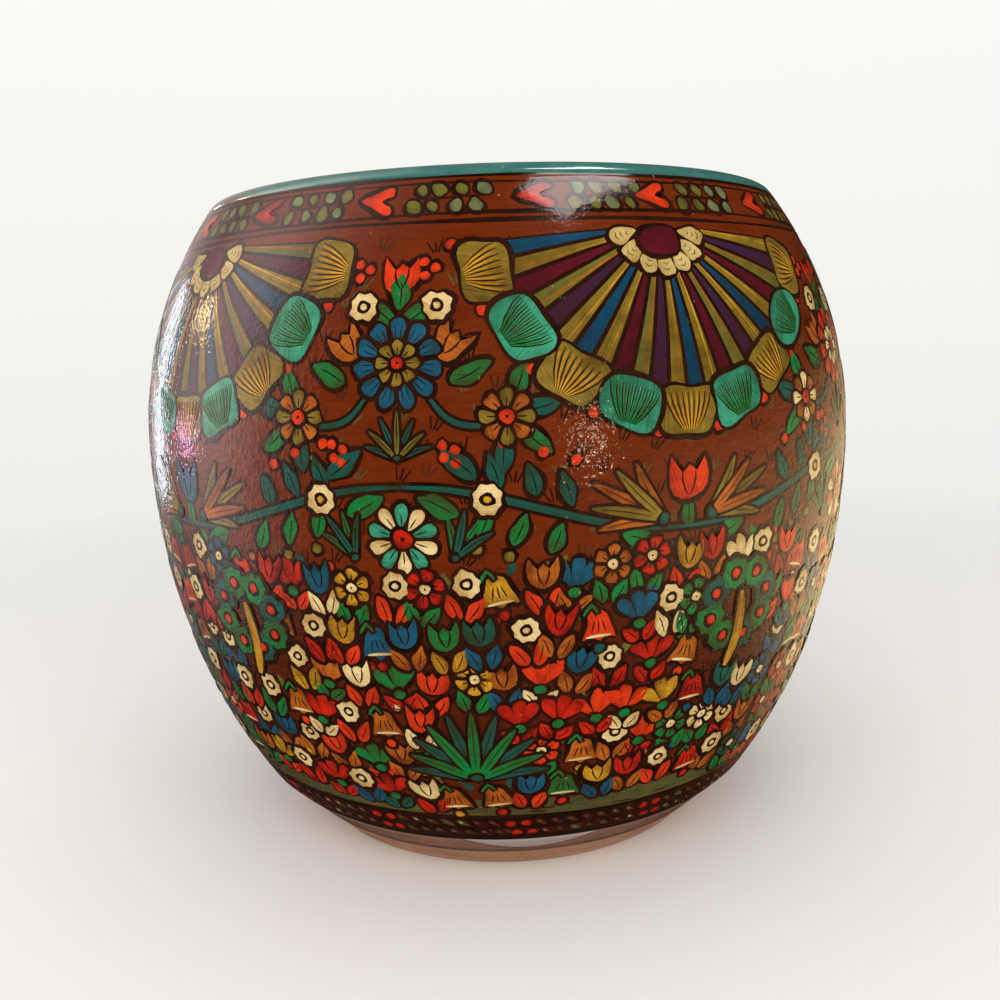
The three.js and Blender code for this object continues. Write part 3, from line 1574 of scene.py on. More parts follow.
    def dahlia(self, spot: Spot, radius: float, pigment: Pigment, inner: Pigment, eye: Pigment) -> None:
        """A full bloom: a ring of ribbed petals, a smaller ring on top of it, and an eye.

        Args:
            spot: Its middle.
            radius: Its radius in millimetres.
            pigment: Paint of the outer petals.
            inner: Paint of the inner petals.
            eye: Paint of its eye.
        """
        petals = 11
        for k in range(petals):
            petal = spot.tilted(360 * k / petals).shift(0, radius * 0.7)
            self.box.blot(pigment, Outline.DROP, petal, (radius * 0.19, radius * 0.3), 1.0, count=14)
            for side in (-0.25, 0.25):
                rib = [(side * radius * 0.2, -radius * 0.2), (side * radius * 0.3, radius * 0.16)]
                self.box.stroke(Pigment.LINE, petal, rib, 0.5, steps=4)
        self.rosette(spot.on_top(), radius * 0.52, 8, inner, inner, eye)

    def plume(self, spot: Spot, length: float, count: int, spread: float, paints: Sequence[Pigment]) -> None:
        """A fan of long narrow blades from one foot.

        Args:
            spot: The foot.
            length: Length of the middle blade in millimetres.
            count: How many blades there are.
            spread: Angle between the outer blades in degrees.
            paints: Paints that the blades take in turn.
        """
        wide = length * 0.13
        for k in range(count):
            share = 2 * k / (count - 1) - 1
            blade = spot.tilted(-share * spread / 2)
            blade = blade.on_top() if k % 2 else blade
            reach = length * (1 - 0.22 * abs(share)) * self.dice.uniform(0.94, 1.06)
            curl = share * reach * 0.16
            path = [(0, reach * 0.06), (curl * 0.25, reach * 0.55), (curl, reach)]
            self.box.stroke(paints[k % len(paints)], blade, path, self.blade_width(wide), 0.75, Coat.FILL, 8)
            rib = [(0, reach * 0.2), (curl * 0.25, reach * 0.55), (curl * 0.8, reach * 0.88)]
            self.box.stroke(Pigment.LINE, blade, rib, 0.5, steps=6)
        calyx = spot.shift(0, wide * 0.3).on_top(2)
        self.box.blot(Pigment.PINE, Outline.DISC, calyx, (wide * 0.55, wide * 0.45), 0.8)

    def blade_width(self, wide: float) -> Breadth:
        """Width along a blade, fullest past its middle."""
        return lambda share: wide * math.sin(math.pi * share**0.8) ** 0.7

    def spray(self, spot: Spot, pairs: int, half: Pair, pigment: Pigment) -> None:
        """Leaf pairs up a thin stem.

        Args:
            spot: Foot of the stem.
            pairs: How many pairs there are.
            half: Half the width and half the length of a leaf, in millimetres.
            pigment: Paint of the leaves.
        """
        gap = half[1] * 1.35
        stem = [(0, 0), (0.8, gap * pairs * 0.5), (0, gap * pairs)]
        self.box.stroke(Pigment.LINE, spot, stem, 1.2, coat=Coat.LINE, steps=6)
        for k in range(pairs):
            for side in (-1, 1):
                self.leaf(spot.shift(side * half[1] * 0.92, gap * (k + 0.5), -side * 52), half, pigment)
        self.leaf(spot.shift(0, gap * (pairs + 0.4)), half, pigment)

    def berries(self, spot: Spot, count: int, radius: float, pigment: Pigment) -> None:
        """A small bunch of berries.

        Args:
            spot: Its middle.
            count: How many there are.
            radius: Radius of a berry in millimetres.
            pigment: Their paint.
        """
        for k in range(count):
            out = 0 if k == 0 else radius * 2.4
            berry = spot.tilted(60 * k + self.dice.uniform(-12, 12)).shift(0, out)
            self.box.blot(pigment, Outline.DISC, berry, (radius, radius), 0.9, count=10)

    def bush(self, spot: Spot, size: float, berry: Pigment) -> None:
        """A round bush on a thick stem, with a ringed berry on each clump of leaves.

        Args:
            spot: Middle of the bush.
            size: Half its height in millimetres.
            berry: Paint of the berries.
        """
        stem = [(-size * 0.12, -size * 1.1), (size * 0.06, -size * 0.4), (0, size * 0.5)]
        self.box.stroke(Pigment.OCHRE, spot.on_top(), stem, size * 0.24, 0.9, Coat.FILL, 8)
        for k in range(8):
            angle = FULL_TURN * k / 8 + 0.3
            across, up = 0.72 * size * math.cos(angle), 0.2 * size + 0.66 * size * math.sin(angle)
            clump = spot.shift(across, up, self.dice.uniform(-20, 20))
            leafy = Pigment.GREEN if k % 3 else Pigment.PINE
            self.box.blot(leafy, Outline.FRILL, clump, (size * 0.34, size * 0.32), 1.1, count=32)
            self.box.blot(berry, Outline.DISC, clump.on_top(), (size * 0.1, size * 0.1), 0.9, Coat.FILL, 10)


# Zones of the ornament, from the rim down


Shares = tuple[tuple[Pigment, int], ...]


@dataclass
class Zone:
    """A band of the wall and the hand that paints it."""

    box: PaintBox
    blooms: Blooms
    dice: random.Random

    def paint(self) -> None:
        """Paints the band."""
        raise NotImplementedError

    def drawn(self, shares: Shares, count: int) -> list[Pigment]:
        """Draws some paints, each as often as its share."""
        paints, weights = zip(*shares)
        return self.dice.choices(paints, weights, k=count)


@dataclass
class HeartBorder(Zone):
    """Band under the lip: hearts on their sides, with leaf pairs along a stem between them."""

    hearts: int = 17
    phase: float = 5.4
    middle: float = 201.2
    heart_half: Pair = (4.2, 4.9)
    leaf_half: Pair = (1.65, 2.15)
    pairs: int = 4
    heart_room: float = 4.4
    lines: tuple[Hoop, ...] = (Hoop(206.8, 1.1, 0.2), Hoop(205.1, 0.8), Hoop(196.9, 1.1), Hoop(194.9, 1.2))

    def paint(self) -> None:
        """Draws the lines, the hearts and the leaves."""
        box = self.box
        for line in self.lines:
            box.draw_hoop(Pigment.LINE, line, Coat.MARK)
        gap = 360 / self.hearts
        for k in range(self.hearts):
            turn = self.phase + gap * k + self.dice.uniform(-1.5, 1.5)
            heart = Spot(turn, self.middle * MM, -90 + self.dice.uniform(-9, 9))
            pigment = Pigment.VERMILION if k % 3 else Pigment.RED
            box.blot(pigment, Outline.HEART, heart, self.heart_half, 1.25, count=24)
            self.leaves(turn + self.heart_room, turn + gap - self.heart_room)

    def leaves(self, start: float, end: float) -> None:
        """Draws a stem with leaf pairs between two hearts.

        Args:
            start: Degrees where the stem begins.
            end: Degrees where it ends.
        """
        middle = Spot((start + end) / 2, self.middle * MM)
        reach = math.radians(end - start) / 2 * POT.skin(middle.height) / MM
        stem = [(-reach, 0.3), (-reach * 0.3, -0.3), (reach * 0.4, 0.3), (reach, 0)]
        self.box.stroke(Pigment.LINE, middle, stem, 0.9, coat=Coat.LINE, steps=10)
        for k in range(self.pairs):
            across = reach * (2 * (k + 0.5) / self.pairs - 1)
            for side in (-1, 1):
                size = self.dice.uniform(0.82, 1.12)
                half = (self.leaf_half[0] * size, self.leaf_half[1] * size)
                leaf = middle.shift(across + side * 0.9 + self.dice.uniform(-0.6, 0.6), side * 2.6)
                pigment = Pigment.OLIVE if self.dice.random() < 0.3 else Pigment.SAGE
                self.box.blot(pigment, Outline.DISC, leaf.tilted(self.dice.uniform(-12, 48)), half, 1.0)


@dataclass
class ShellFrieze(Zone):
    """Striped shells that hang from the border, each with a pale collar and a fringe of ribbed lobes."""

    shells: int = 5
    phase: float = 24.0
    top: float = 193.0
    bloom: float = 160.0
    hub: float = 13.0
    reach: float = 46.0
    gores: int = 24
    fringe: int = 9
    lobe: Pair = (8.7, 6.8)
    spread: float = 86.0
    stripes: tuple[Pigment, ...] = (
        Pigment.NAVY, Pigment.STRAW, Pigment.MAROON, Pigment.OLIVE, Pigment.PLUM, Pigment.STRAW,
    )

    def paint(self) -> None:
        """Draws each shell and the blooms in the valley beside it."""
        for k in range(self.shells):
            turn = self.phase + 360 / self.shells * k
            self.shell(Spot(turn, self.top * MM, self.dice.uniform(-2, 2)), k)
            self.valley(Spot(turn + 180 / self.shells, self.bloom * MM, self.dice.uniform(-4, 4)), k)

    def shell(self, spot: Spot, number: int) -> None:
        """Draws the gores, the fringe and the collar of one shell.

        Args:
            spot: Middle of its straight top edge.
            number: Which shell it is, which sets its colours.
        """
        wedge = 2 * self.spread / self.gores
        for k in range(self.gores):
            ray = spot.tilted(-self.spread + wedge * (k + 0.5))
            pigment = self.stripes[(k + number) % len(self.stripes)]
            path = [(0, -self.hub), (0, -(self.hub + self.reach) / 2), (0, -self.reach)]
            self.box.stroke(pigment, ray, path, self.gore_width(math.radians(wedge)), 0.6, Coat.FILL, 12)
            shine = Pigment.OCHRE if pigment is Pigment.STRAW else Pigment.RUST
            if k % 2:
                self.box.stroke(shine, ray.shift(0.6, 0), path, 0.7, steps=12)
        for k in range(self.fringe):
            ray = spot.tilted(-self.spread + 2 * self.spread * (k + 0.5) / self.fringe)
            lobe = ray.shift(0, -self.reach - 3.6).on_top()
            lobe = lobe.on_top() if k % 2 else lobe
            self.ribbed(lobe, Pigment.MINT if (k + number) % 2 else Pigment.STRAW)
            gap = spot.tilted(-self.spread + 2 * self.spread * k / self.fringe)
            self.blooms.berries(gap.shift(0, -self.reach - 9.2), 1, 1.6, Pigment.VERMILION)
        for k in range(7):
            ray = spot.tilted(-75 + 25 * k)
            self.scaled(ray.shift(0, -self.hub + 2.5).on_top())
        self.box.blot(Pigment.MAROON, Outline.DISC, spot.shift(0, -4.6).on_top(2), (6.2, 4.4), 1.2, count=20)

    def gore_width(self, wedge: float) -> Breadth:
        """Width along a gore, wider outwards, with a dark gap left beside it."""
        return lambda share: max(0.1, (self.hub + (self.reach - self.hub) * share) * wedge - 0.9)

    def ribbed(self, spot: Spot, pigment: Pigment) -> None:
        """One lobe of the fringe, with fine dark ribs that fan out from its foot.

        Args:
            spot: Its middle.
            pigment: Its paint.
        """
        wide, tall = self.lobe
        self.box.blot(pigment, Outline.PAD, spot, self.lobe, 1.2)
        light = Pigment.OCHRE if pigment is Pigment.STRAW else Pigment.GREEN
        for k in range(17):
            lean = (k - 8) / 8
            foot, waist, crown = [lean * wide * share for share in (0.2, 0.66, 0.82)]
            rib = [(foot, -tall * 0.85), (waist, 0), (crown, tall * 0.74)]
            self.box.stroke(light if k % 2 else Pigment.LINE, spot, rib, 0.8 if k % 2 else 0.6, steps=5)

    def scaled(self, spot: Spot) -> None:
        """One petal of the collar, marked with small arcs.

        Args:
            spot: Its middle.
        """
        self.box.blot(Pigment.BUFF, Outline.DROP, spot.tilted(180), (2.7, 4.2), 1.1, count=16)
        for up, wide in ((-2.2, 1.3), (-0.6, 1.0), (1.0, 0.7)):
            mark = [(-wide, up + 0.4), (0, up - 0.4), (wide, up + 0.4)]
            self.box.stroke(Pigment.LINE, spot, mark, 0.5, steps=4)

    def valley(self, spot: Spot, number: int) -> None:
        """A tall stem of blooms between two shells.

        Args:
            spot: Middle of the large bloom.
            number: Which valley it is, which sets its colours.
        """
        pigment, inner = (
            (Pigment.VERMILION, Pigment.CREAM), (Pigment.BLUE, Pigment.STRAW), (Pigment.RED, Pigment.OCHRE),
        )[number % 3]
        blooms = self.blooms
        blooms.spray(spot.shift(0, 9), 1, (2.7, 5.0), Pigment.GREEN)
        blooms.tulip(spot.shift(0, 22.5), 5.0, (Pigment.RED, Pigment.VERMILION, Pigment.BLUE)[number % 3])
        for side in (-1, 1):
            blooms.daisy(spot.shift(side * 9.5, 14.5).on_top(), 4.0, Pigment.CREAM)
            blooms.tulip(spot.shift(side * 13.5, 5.0, -side * 35), 4.6, Pigment.RUST)
            blooms.leaf(spot.shift(side * 18.5, -2.5, -side * 62), (2.8, 5.6), Pigment.GREEN)
            blooms.berries(spot.shift(side * 8.5, 24.5), 3, 1.4, Pigment.VERMILION)
            self.corner(spot.shift(side * 27.5, -13.5), side, inner)
        blooms.dahlia(spot.on_top(), 11.5, pigment, inner, Pigment.RED)
        blooms.plume(spot.shift(0, -24), 12, 7, 120, (Pigment.PINE, Pigment.OLIVE))

    def corner(self, spot: Spot, side: int, pigment: Pigment) -> None:
        """A small bloom with leaves in the lower corner of a valley.

        Args:
            spot: Its middle.
            side: 1 for the right corner, -1 for the left one.
            pigment: Paint of every other petal.
        """
        blooms = self.blooms
        for lean in (20, 75, 130, 185):
            leaf = spot.tilted(-side * lean).shift(0, 9.5)
            blooms.leaf(leaf, (2.5, 5.2), Pigment.PINE if lean % 2 else Pigment.GREEN)
        stem = [(-side * 20, 6), (-side * 14.5, -0.4), (-side * 7.5, -2.2), (0, 0)]
        self.box.stroke(Pigment.PINE, spot, stem, 1.6, 0.8, Coat.FILL, 18)
        blooms.rosette(spot.on_top(), 7.2, 8, pigment, Pigment.RUST, Pigment.VERMILION)
        blooms.berries(spot.shift(-side * 13, -8), 4, 1.4, Pigment.VERMILION)


@dataclass
class Vine(Zone):
    """Open band of ground colour with a waving vine, plumes of long blades and single blooms."""

    middle: float = 122.5
    wave: float = 7.0
    bends: int = 5
    phase: float = 24.0

    def stem_height(self, turn: float) -> float:
        """Height of the stem in millimetres at an angle in degrees."""
        return self.middle - self.wave * math.cos(math.radians((turn - self.phase) * self.bends))

    def paint(self) -> None:
        """Draws the stem in stretches, then the blooms in its hollows and under its crests."""
        stretch = 180 / self.bends
        for k in range(2 * self.bends):
            start = self.phase + stretch * k
            turns = [start - 1.0 + (stretch + 2.0) * j / 6 for j in range(7)]
            centre = Spot(start + stretch / 2, self.middle * MM)
            scale = POT.skin(centre.height) / MM
            path = [(math.radians(t - centre.turn) * scale, self.stem_height(t) - self.middle) for t in turns]
            self.box.stroke(Pigment.PINE, centre, path, 2.0, 0.9, Coat.FILL, 32)
            self.leafy(start, stretch, (0.3, 0.42, 0.54) if k % 2 else (0.46, 0.58, 0.7))
            bend = Spot(start, self.stem_height(start) * MM)
            if k % 2:
                self.crest(bend, k // 2)
            else:
                self.hollow(bend, k // 2)

    def leafy(self, start: float, stretch: float, shares: Sequence[float]) -> None:
        """Leaves and berries on both sides of one stretch of the stem, at some shares of it.

        Args:
            start: Degrees where the stretch begins.
            stretch: Degrees that it takes up.
            shares: Where the leaves grow, as shares of it.
        """
        for share in shares:
            turn = start + stretch * share
            spot = Spot(turn, self.stem_height(turn) * MM, self.dice.uniform(-10, 10))
            for side in (-1, 1):
                pigment = Pigment.GREEN if side < 0 else Pigment.PINE
                self.blooms.leaf(spot.shift(side * 1.2, side * 6.4, side * 20), (2.2, 4.6), pigment)
            self.blooms.berries(spot.shift(3.4, 13.5), 1, 1.5, Pigment.VERMILION)
            self.blooms.berries(spot.shift(-3.4, -13.5), 1, 1.5, Pigment.STRAW)

    def hollow(self, spot: Spot, number: int) -> None:
        """A bloom that stands in a hollow between two plumes.

        Args:
            spot: The lowest point of the stem.
            number: Which hollow it is, which sets the colours.
        """
        blooms = self.blooms
        blade = ((Pigment.RUST, Pigment.STRAW), (Pigment.OLIVE, Pigment.CREAM))[number % 2]
        for side in (-1, 1):
            foot = spot.shift(side * 6.5, 2.5, -side * 62).on_top()
            blooms.plume(foot, 23, 5, 46, blade if side < 0 else blade[::-1])
            blooms.leaf(spot.shift(side * 14, -2.0, -side * 70), (2.8, 5.4), Pigment.GREEN)
        pigment = (Pigment.VERMILION, Pigment.BLUE, Pigment.OCHRE)[number % 3]
        blooms.leaf(spot.shift(0, 4.0), (2.2, 4.4), Pigment.GREEN)
        blooms.tulip(spot.shift(0, 12.5).on_top(), 6.0, pigment)

    def crest(self, spot: Spot, number: int) -> None:
        """A bloom that hangs under a crest, with leaves beside it.

        Args:
            spot: The highest point of the stem.
            number: Which crest it is, which sets the colours.
        """
        blooms = self.blooms
        first, second = (
            (Pigment.CREAM, Pigment.VERMILION), (Pigment.MINT, Pigment.CREAM), (Pigment.STRAW, Pigment.RED),
        )[number % 3]
        blooms.rosette(spot.shift(0, -13.5), 9.5, 10, first, second, Pigment.RED)
        for side in (-1, 1):
            blooms.leaf(spot.shift(side * 9.5, -5.0, side * 62), (2.9, 5.8), Pigment.GREEN)
            blooms.plume(spot.shift(side * 13, -19, -side * 24), 15, 4, 44, (Pigment.GREEN, Pigment.PINE))
            blooms.leaf(spot.shift(side * 15, 5.5, side * 52), (2.9, 5.8), Pigment.PINE)
            blooms.daisy(spot.shift(side * 22, -3.5).on_top(), 4.2, Pigment.OCHRE)


@dataclass(frozen=True)
class Plot:
    """A part of the wall that is kept free for one large motif."""

    turn: float
    height: float
    half_width: float
    half_height: float

    def holds(self, spot: Spot) -> bool:
        """Whether a spot lies in the plot.

        Args:
            spot: The spot.

        Returns:
            True if it does.
        """
        away = (spot.turn - self.turn + 180) % 360 - 180
        across = math.radians(away) * POT.skin(spot.height) / MM
        return abs(across) < self.half_width and abs(spot.height / MM - self.height) < self.half_height


class Kind(Enum):
    """Kinds of bloom in the rows, each with how often it is drawn."""

    DAISY = ("daisy", 30)
    TULIP = ("tulip", 26)
    BELL = ("bell", 16)
    BUDS = ("buds", 12)
    PINK = ("pink", 16)


@dataclass
class FlowerRows(Zone):
    """Close rows of small blooms in every colour, hung in shallow swags, with bushes and tufts among them."""

    top: float = 102.5
    rows: int = 6
    drop: float = 13.2
    pitch: float = 9.7
    swag: float = 3.0
    swags: int = 5
    phase: float = 24.0
    stray: Triple = (0.9, 1.1, 14.0)
    paints: Shares = (
        (Pigment.RED, 20), (Pigment.VERMILION, 18), (Pigment.BLUE, 18), (Pigment.RUST, 14),
        (Pigment.GREEN, 7), (Pigment.PINE, 5), (Pigment.OCHRE, 8), (Pigment.CREAM, 8),
    )

    def plots(self) -> list[Plot]:
        """Places of the bushes, then of the tufts.

        Returns:
            The plots.
        """
        gap = 360 / self.swags
        bushes = [Plot(self.phase + gap * k + 10, 88, 11, 13) for k in range(self.swags)]
        tufts = [Plot(self.phase + gap * k + 43, 55, 11, 7) for k in range(self.swags)]
        return bushes + tufts

    def paint(self) -> None:
        """Draws the large motifs, then fills each row round them."""
        plots = self.plots()
        stray_turn, stray_height, stray_tilt = self.stray
        for k, plot in enumerate(plots):
            spot = Spot(plot.turn, plot.height * MM).on_top(4)
            if k < self.swags:
                self.blooms.bush(spot, 15, Pigment.RED if k % 2 else Pigment.VERMILION)
            else:
                self.blooms.plume(spot.shift(0, -12), 25, 11, 140, (Pigment.PINE, Pigment.GREEN))
        for number in range(self.rows):
            level = Spot(0, self.top * MM).shift(0, -self.drop * number).height
            count = round(FULL_TURN * POT.skin(level) / MM / self.pitch)
            for k in range(count):
                turn = 360 * (k + 0.5 * (number % 2)) / count + self.dice.uniform(-stray_turn, stray_turn)
                hang = self.swag * math.cos(math.radians((turn - self.phase) * self.swags))
                height = level + (hang + self.dice.uniform(-stray_height, stray_height)) * MM
                spot = Spot(turn, height, self.dice.uniform(-stray_tilt, stray_tilt))
                if not any(plot.holds(spot) for plot in plots):
                    self.bloom(spot.on_top(2) if number % 2 else spot)
                    self.gap(spot.shift(self.pitch / 2, self.drop * 0.45))

    def gap(self, spot: Spot) -> None:
        """A small dark leaf, a berry or a few strokes in the gap above two blooms.

        Args:
            spot: Its middle.
        """
        kind = self.dice.random()
        if kind < 0.5:
            pigment = self.dice.choice((Pigment.PINE, Pigment.OLIVE, Pigment.MAROON, Pigment.GREEN))
            leaf = spot.tilted(self.dice.uniform(-40, 40))
            self.box.blot(pigment, Outline.LEAF, leaf, (1.3, 2.6), 0, Coat.LINE)
        elif kind < 0.75:
            self.blooms.berries(spot, 1, 1.3, self.drawn(self.paints, 1)[0])
        else:
            for across in (-1.5, 0, 1.5):
                blade = [(across * 0.5, -2.2), (across, 0), (across * 1.6, 2.2)]
                self.box.stroke(Pigment.LINE, spot, blade, 0.8, coat=Coat.LINE, steps=4)

    def bloom(self, spot: Spot) -> None:
        """One bloom of a kind that the dice choose.

        Args:
            spot: Its middle.
        """
        first, second = self.drawn(self.paints, 2)
        kind = self.dice.choices(list(Kind), [kind.value[1] for kind in Kind])[0]
        blooms = self.blooms
        head = spot.shift(0, 3.4).on_top()
        if kind is Kind.DAISY:
            blooms.leaf_pair(spot.shift(0, -3.6), (2.2, 4.2), first)
            blooms.daisy(head, self.dice.uniform(3.5, 4.2), Pigment.CREAM)
        elif kind is Kind.TULIP:
            blooms.leaf_pair(spot.shift(0, -4.0), (2.1, 3.9), second)
            blooms.tulip(head, 4.3, first)
        elif kind is Kind.BELL:
            blooms.bell(spot.shift(0, 0.2), 4.6, first)
            blooms.berries(spot.shift(0, -6.4), 1, 1.5, second)
        elif kind is Kind.BUDS:
            blooms.leaf_pair(spot.shift(0, -5.4), (2.0, 3.2), second, 40)
            blooms.buds(spot.shift(0, -2.0), 6.0, first)
        else:
            blooms.leaf_pair(spot.shift(0, -4.6), (2.1, 3.6), Pigment.GREEN, 24)
            blooms.rosette(head.shift(0, -0.6), 5.4, 6, first, first, Pigment.CREAM)


@dataclass
class Undergrowth(Zone):
    """Short dark blades brushed on the ground before the motifs, which cover most of them."""

    low: float = 108.0
    high: float = 192.0
    rows: int = 12
    pitch: float = 10.5

    def paint(self) -> None:
        """Brushes small tufts of blades in staggered rows."""
        for row in range(self.rows):
            level = self.low + (self.high - self.low) * (row + 0.5) / self.rows
            count = round(FULL_TURN * POT.skin(level * MM) / MM / self.pitch)
            for k in range(count):
                turn = 360 * (k + 0.5 * (row % 2)) / count + self.dice.uniform(-1.2, 1.2)
                spot = Spot(turn, (level + self.dice.uniform(-1.5, 1.5)) * MM, self.dice.uniform(-25, 25))
                pigment = self.dice.choice((Pigment.LINE, Pigment.LINE, Pigment.UMBER, Pigment.MOSS))
                for lean in (-1.3, 0.2, 1.6):
                    blade = [(lean * 0.4, -2.4), (lean * 0.8, 0), (lean * 1.7, self.dice.uniform(1.6, 2.8))]
                    self.box.stroke(pigment, spot, blade, 0.75, coat=Coat.WASH, steps=3)


@dataclass
class GrassStrip(Zone):
    """Strip of thin green wash under the rows, with short dark strokes along it."""

    middle: float = 32.6
    width: float = 7.6
    waver: float = 0.8
    dashes: int = 220

    def paint(self) -> None:
        """Lays the wash, then draws the strokes."""
        self.box.draw_hoop(Pigment.MOSS, Hoop(self.middle, self.width, self.waver), Coat.WASH)
        for k in range(self.dashes):
            turn = 360 * k / self.dashes + self.dice.uniform(-1, 1)
            level = self.middle + self.dice.uniform(-0.42, 0.42) * self.width
            length = self.dice.uniform(2.5, 5.0)
            spot = Spot(turn, level * MM, self.dice.uniform(-6, 6))
            pigment = self.dice.choice((Pigment.LINE, Pigment.PINE, Pigment.OLIVE))
            dash = [(-length, 0), (0, 0.3), (length, 0)]
            self.box.stroke(pigment, spot, dash, 0.8, coat=Coat.LINE, steps=5)


@dataclass
class BeadBorder(Zone):
    """Dark band over the heel: two rows of slanting beads, each with a glint, and bunches of red berries."""

    rows: Pair = (25.6, 21.4)
    groups: int = 14
    beads: int = 7
    berries: int = 2
    glint: Pair = (0.5, 0.85)
    band: Hoop = Hoop(22.6, 12.6, 0.2)
    lines: tuple[Hoop, ...] = (Hoop(28.6, 1.5), Hoop(17.6, 1.5, 0.25))
    bead_paints: Shares = (
        (Pigment.UMBER, 60), (Pigment.MAROON, 22), (Pigment.SAGE, 10), (Pigment.MOSS, 8),
    )
    glint_paints: Shares = ((Pigment.SAGE, 45), (Pigment.MOSS, 35), (Pigment.BUFF, 20))

    def paint(self) -> None:
        """Draws the band, its lines, the beads and the berries."""
        box = self.box
        box.draw_hoop(Pigment.LINE, self.band, Coat.WASH)
        for line in self.lines:
            box.draw_hoop(Pigment.LINE, line, Coat.MARK)
        each = self.beads + self.berries
        count = self.groups * each
        for row, level in enumerate(self.rows):
            for k in range(count):
                spot = Spot(360 * (k + 0.4 * row) / count, level * MM)
                if k % each < self.berries:
                    box.blot(Pigment.RED, Outline.DISC, spot, (1.7, 1.6), 0.9, count=10)
                    continue
                bead = spot.tilted(self.dice.uniform(46, 60))
                pigment = self.drawn(self.bead_paints, 1)[0]
                box.blot(pigment, Outline.DROP, bead, (1.15, 2.4), 0.8, count=12)
                shine = self.drawn(self.glint_paints, 1)[0]
                box.blot(shine, Outline.DISC, bead.shift(0, 0.9), self.glint, 0, Coat.MARK, 8)


# Studio


@dataclass(frozen=True)
class Lamp:
    """A soft lamp in metres and watts, there for its light or else for the varnish to mirror."""

    name: str
    place: Triple
    size: Pair
    power: float
    tint: Triple
    reflected: bool = False

    def hang(self, aim: Vector) -> None:
        """Hangs the lamp.

        Args:
            aim: The point that it faces.
        """
        data = bpy.data.lights.new(self.name, "AREA")
        data.shape = "RECTANGLE"
        data.size, data.size_y = self.size
        data.energy = self.power
        data.color = self.tint
        lamp = bpy.data.objects.new(self.name, data)
        lamp.location = self.place
        lamp.rotation_euler = (aim - Vector(self.place)).to_track_quat("-Z", "Y").to_euler()
        lamp.visible_glossy = self.reflected
        lamp.visible_diffuse = not self.reflected
        bpy.context.scene.collection.objects.link(lamp)


# Broad soft lamps for the light, then small ones for the sparkle on the varnish
LAMPS = (
    Lamp("key", (-0.4, -1.1, 0.9), (0.9, 0.9), 6.0, (1.0, 0.97, 0.93)),
    Lamp("fill", (0.5, -1.05, 0.8), (0.8, 0.8), 4.6, (1.0, 0.96, 0.9)),
    Lamp("ceiling", (0.0, -0.05, 1.5), (1.6, 1.6), 4.0, (1.0, 0.98, 0.96)),
    Lamp("skylight", (0.37, -0.22, 1.14), (0.5, 0.26), 8.0, (1.0, 0.99, 0.97), True),
    Lamp("window", (-0.93, 0.79, 0.21), (0.17, 0.56), 2.3, (0.74, 0.87, 1.0), True),
    Lamp("gold", (-0.863, 0.268, 0.454), (0.045, 0.08), 0.7, (1.0, 0.72, 0.35), True),
    Lamp("pink", (-0.918, 0.269, 0.117), (0.045, 0.09), 0.5, (1.0, 0.4, 0.9), True),
    Lamp("bulb", (0.343, -0.74, 0.144), (0.015, 0.11), 0.9, (1.0, 0.8, 0.55), True),
)


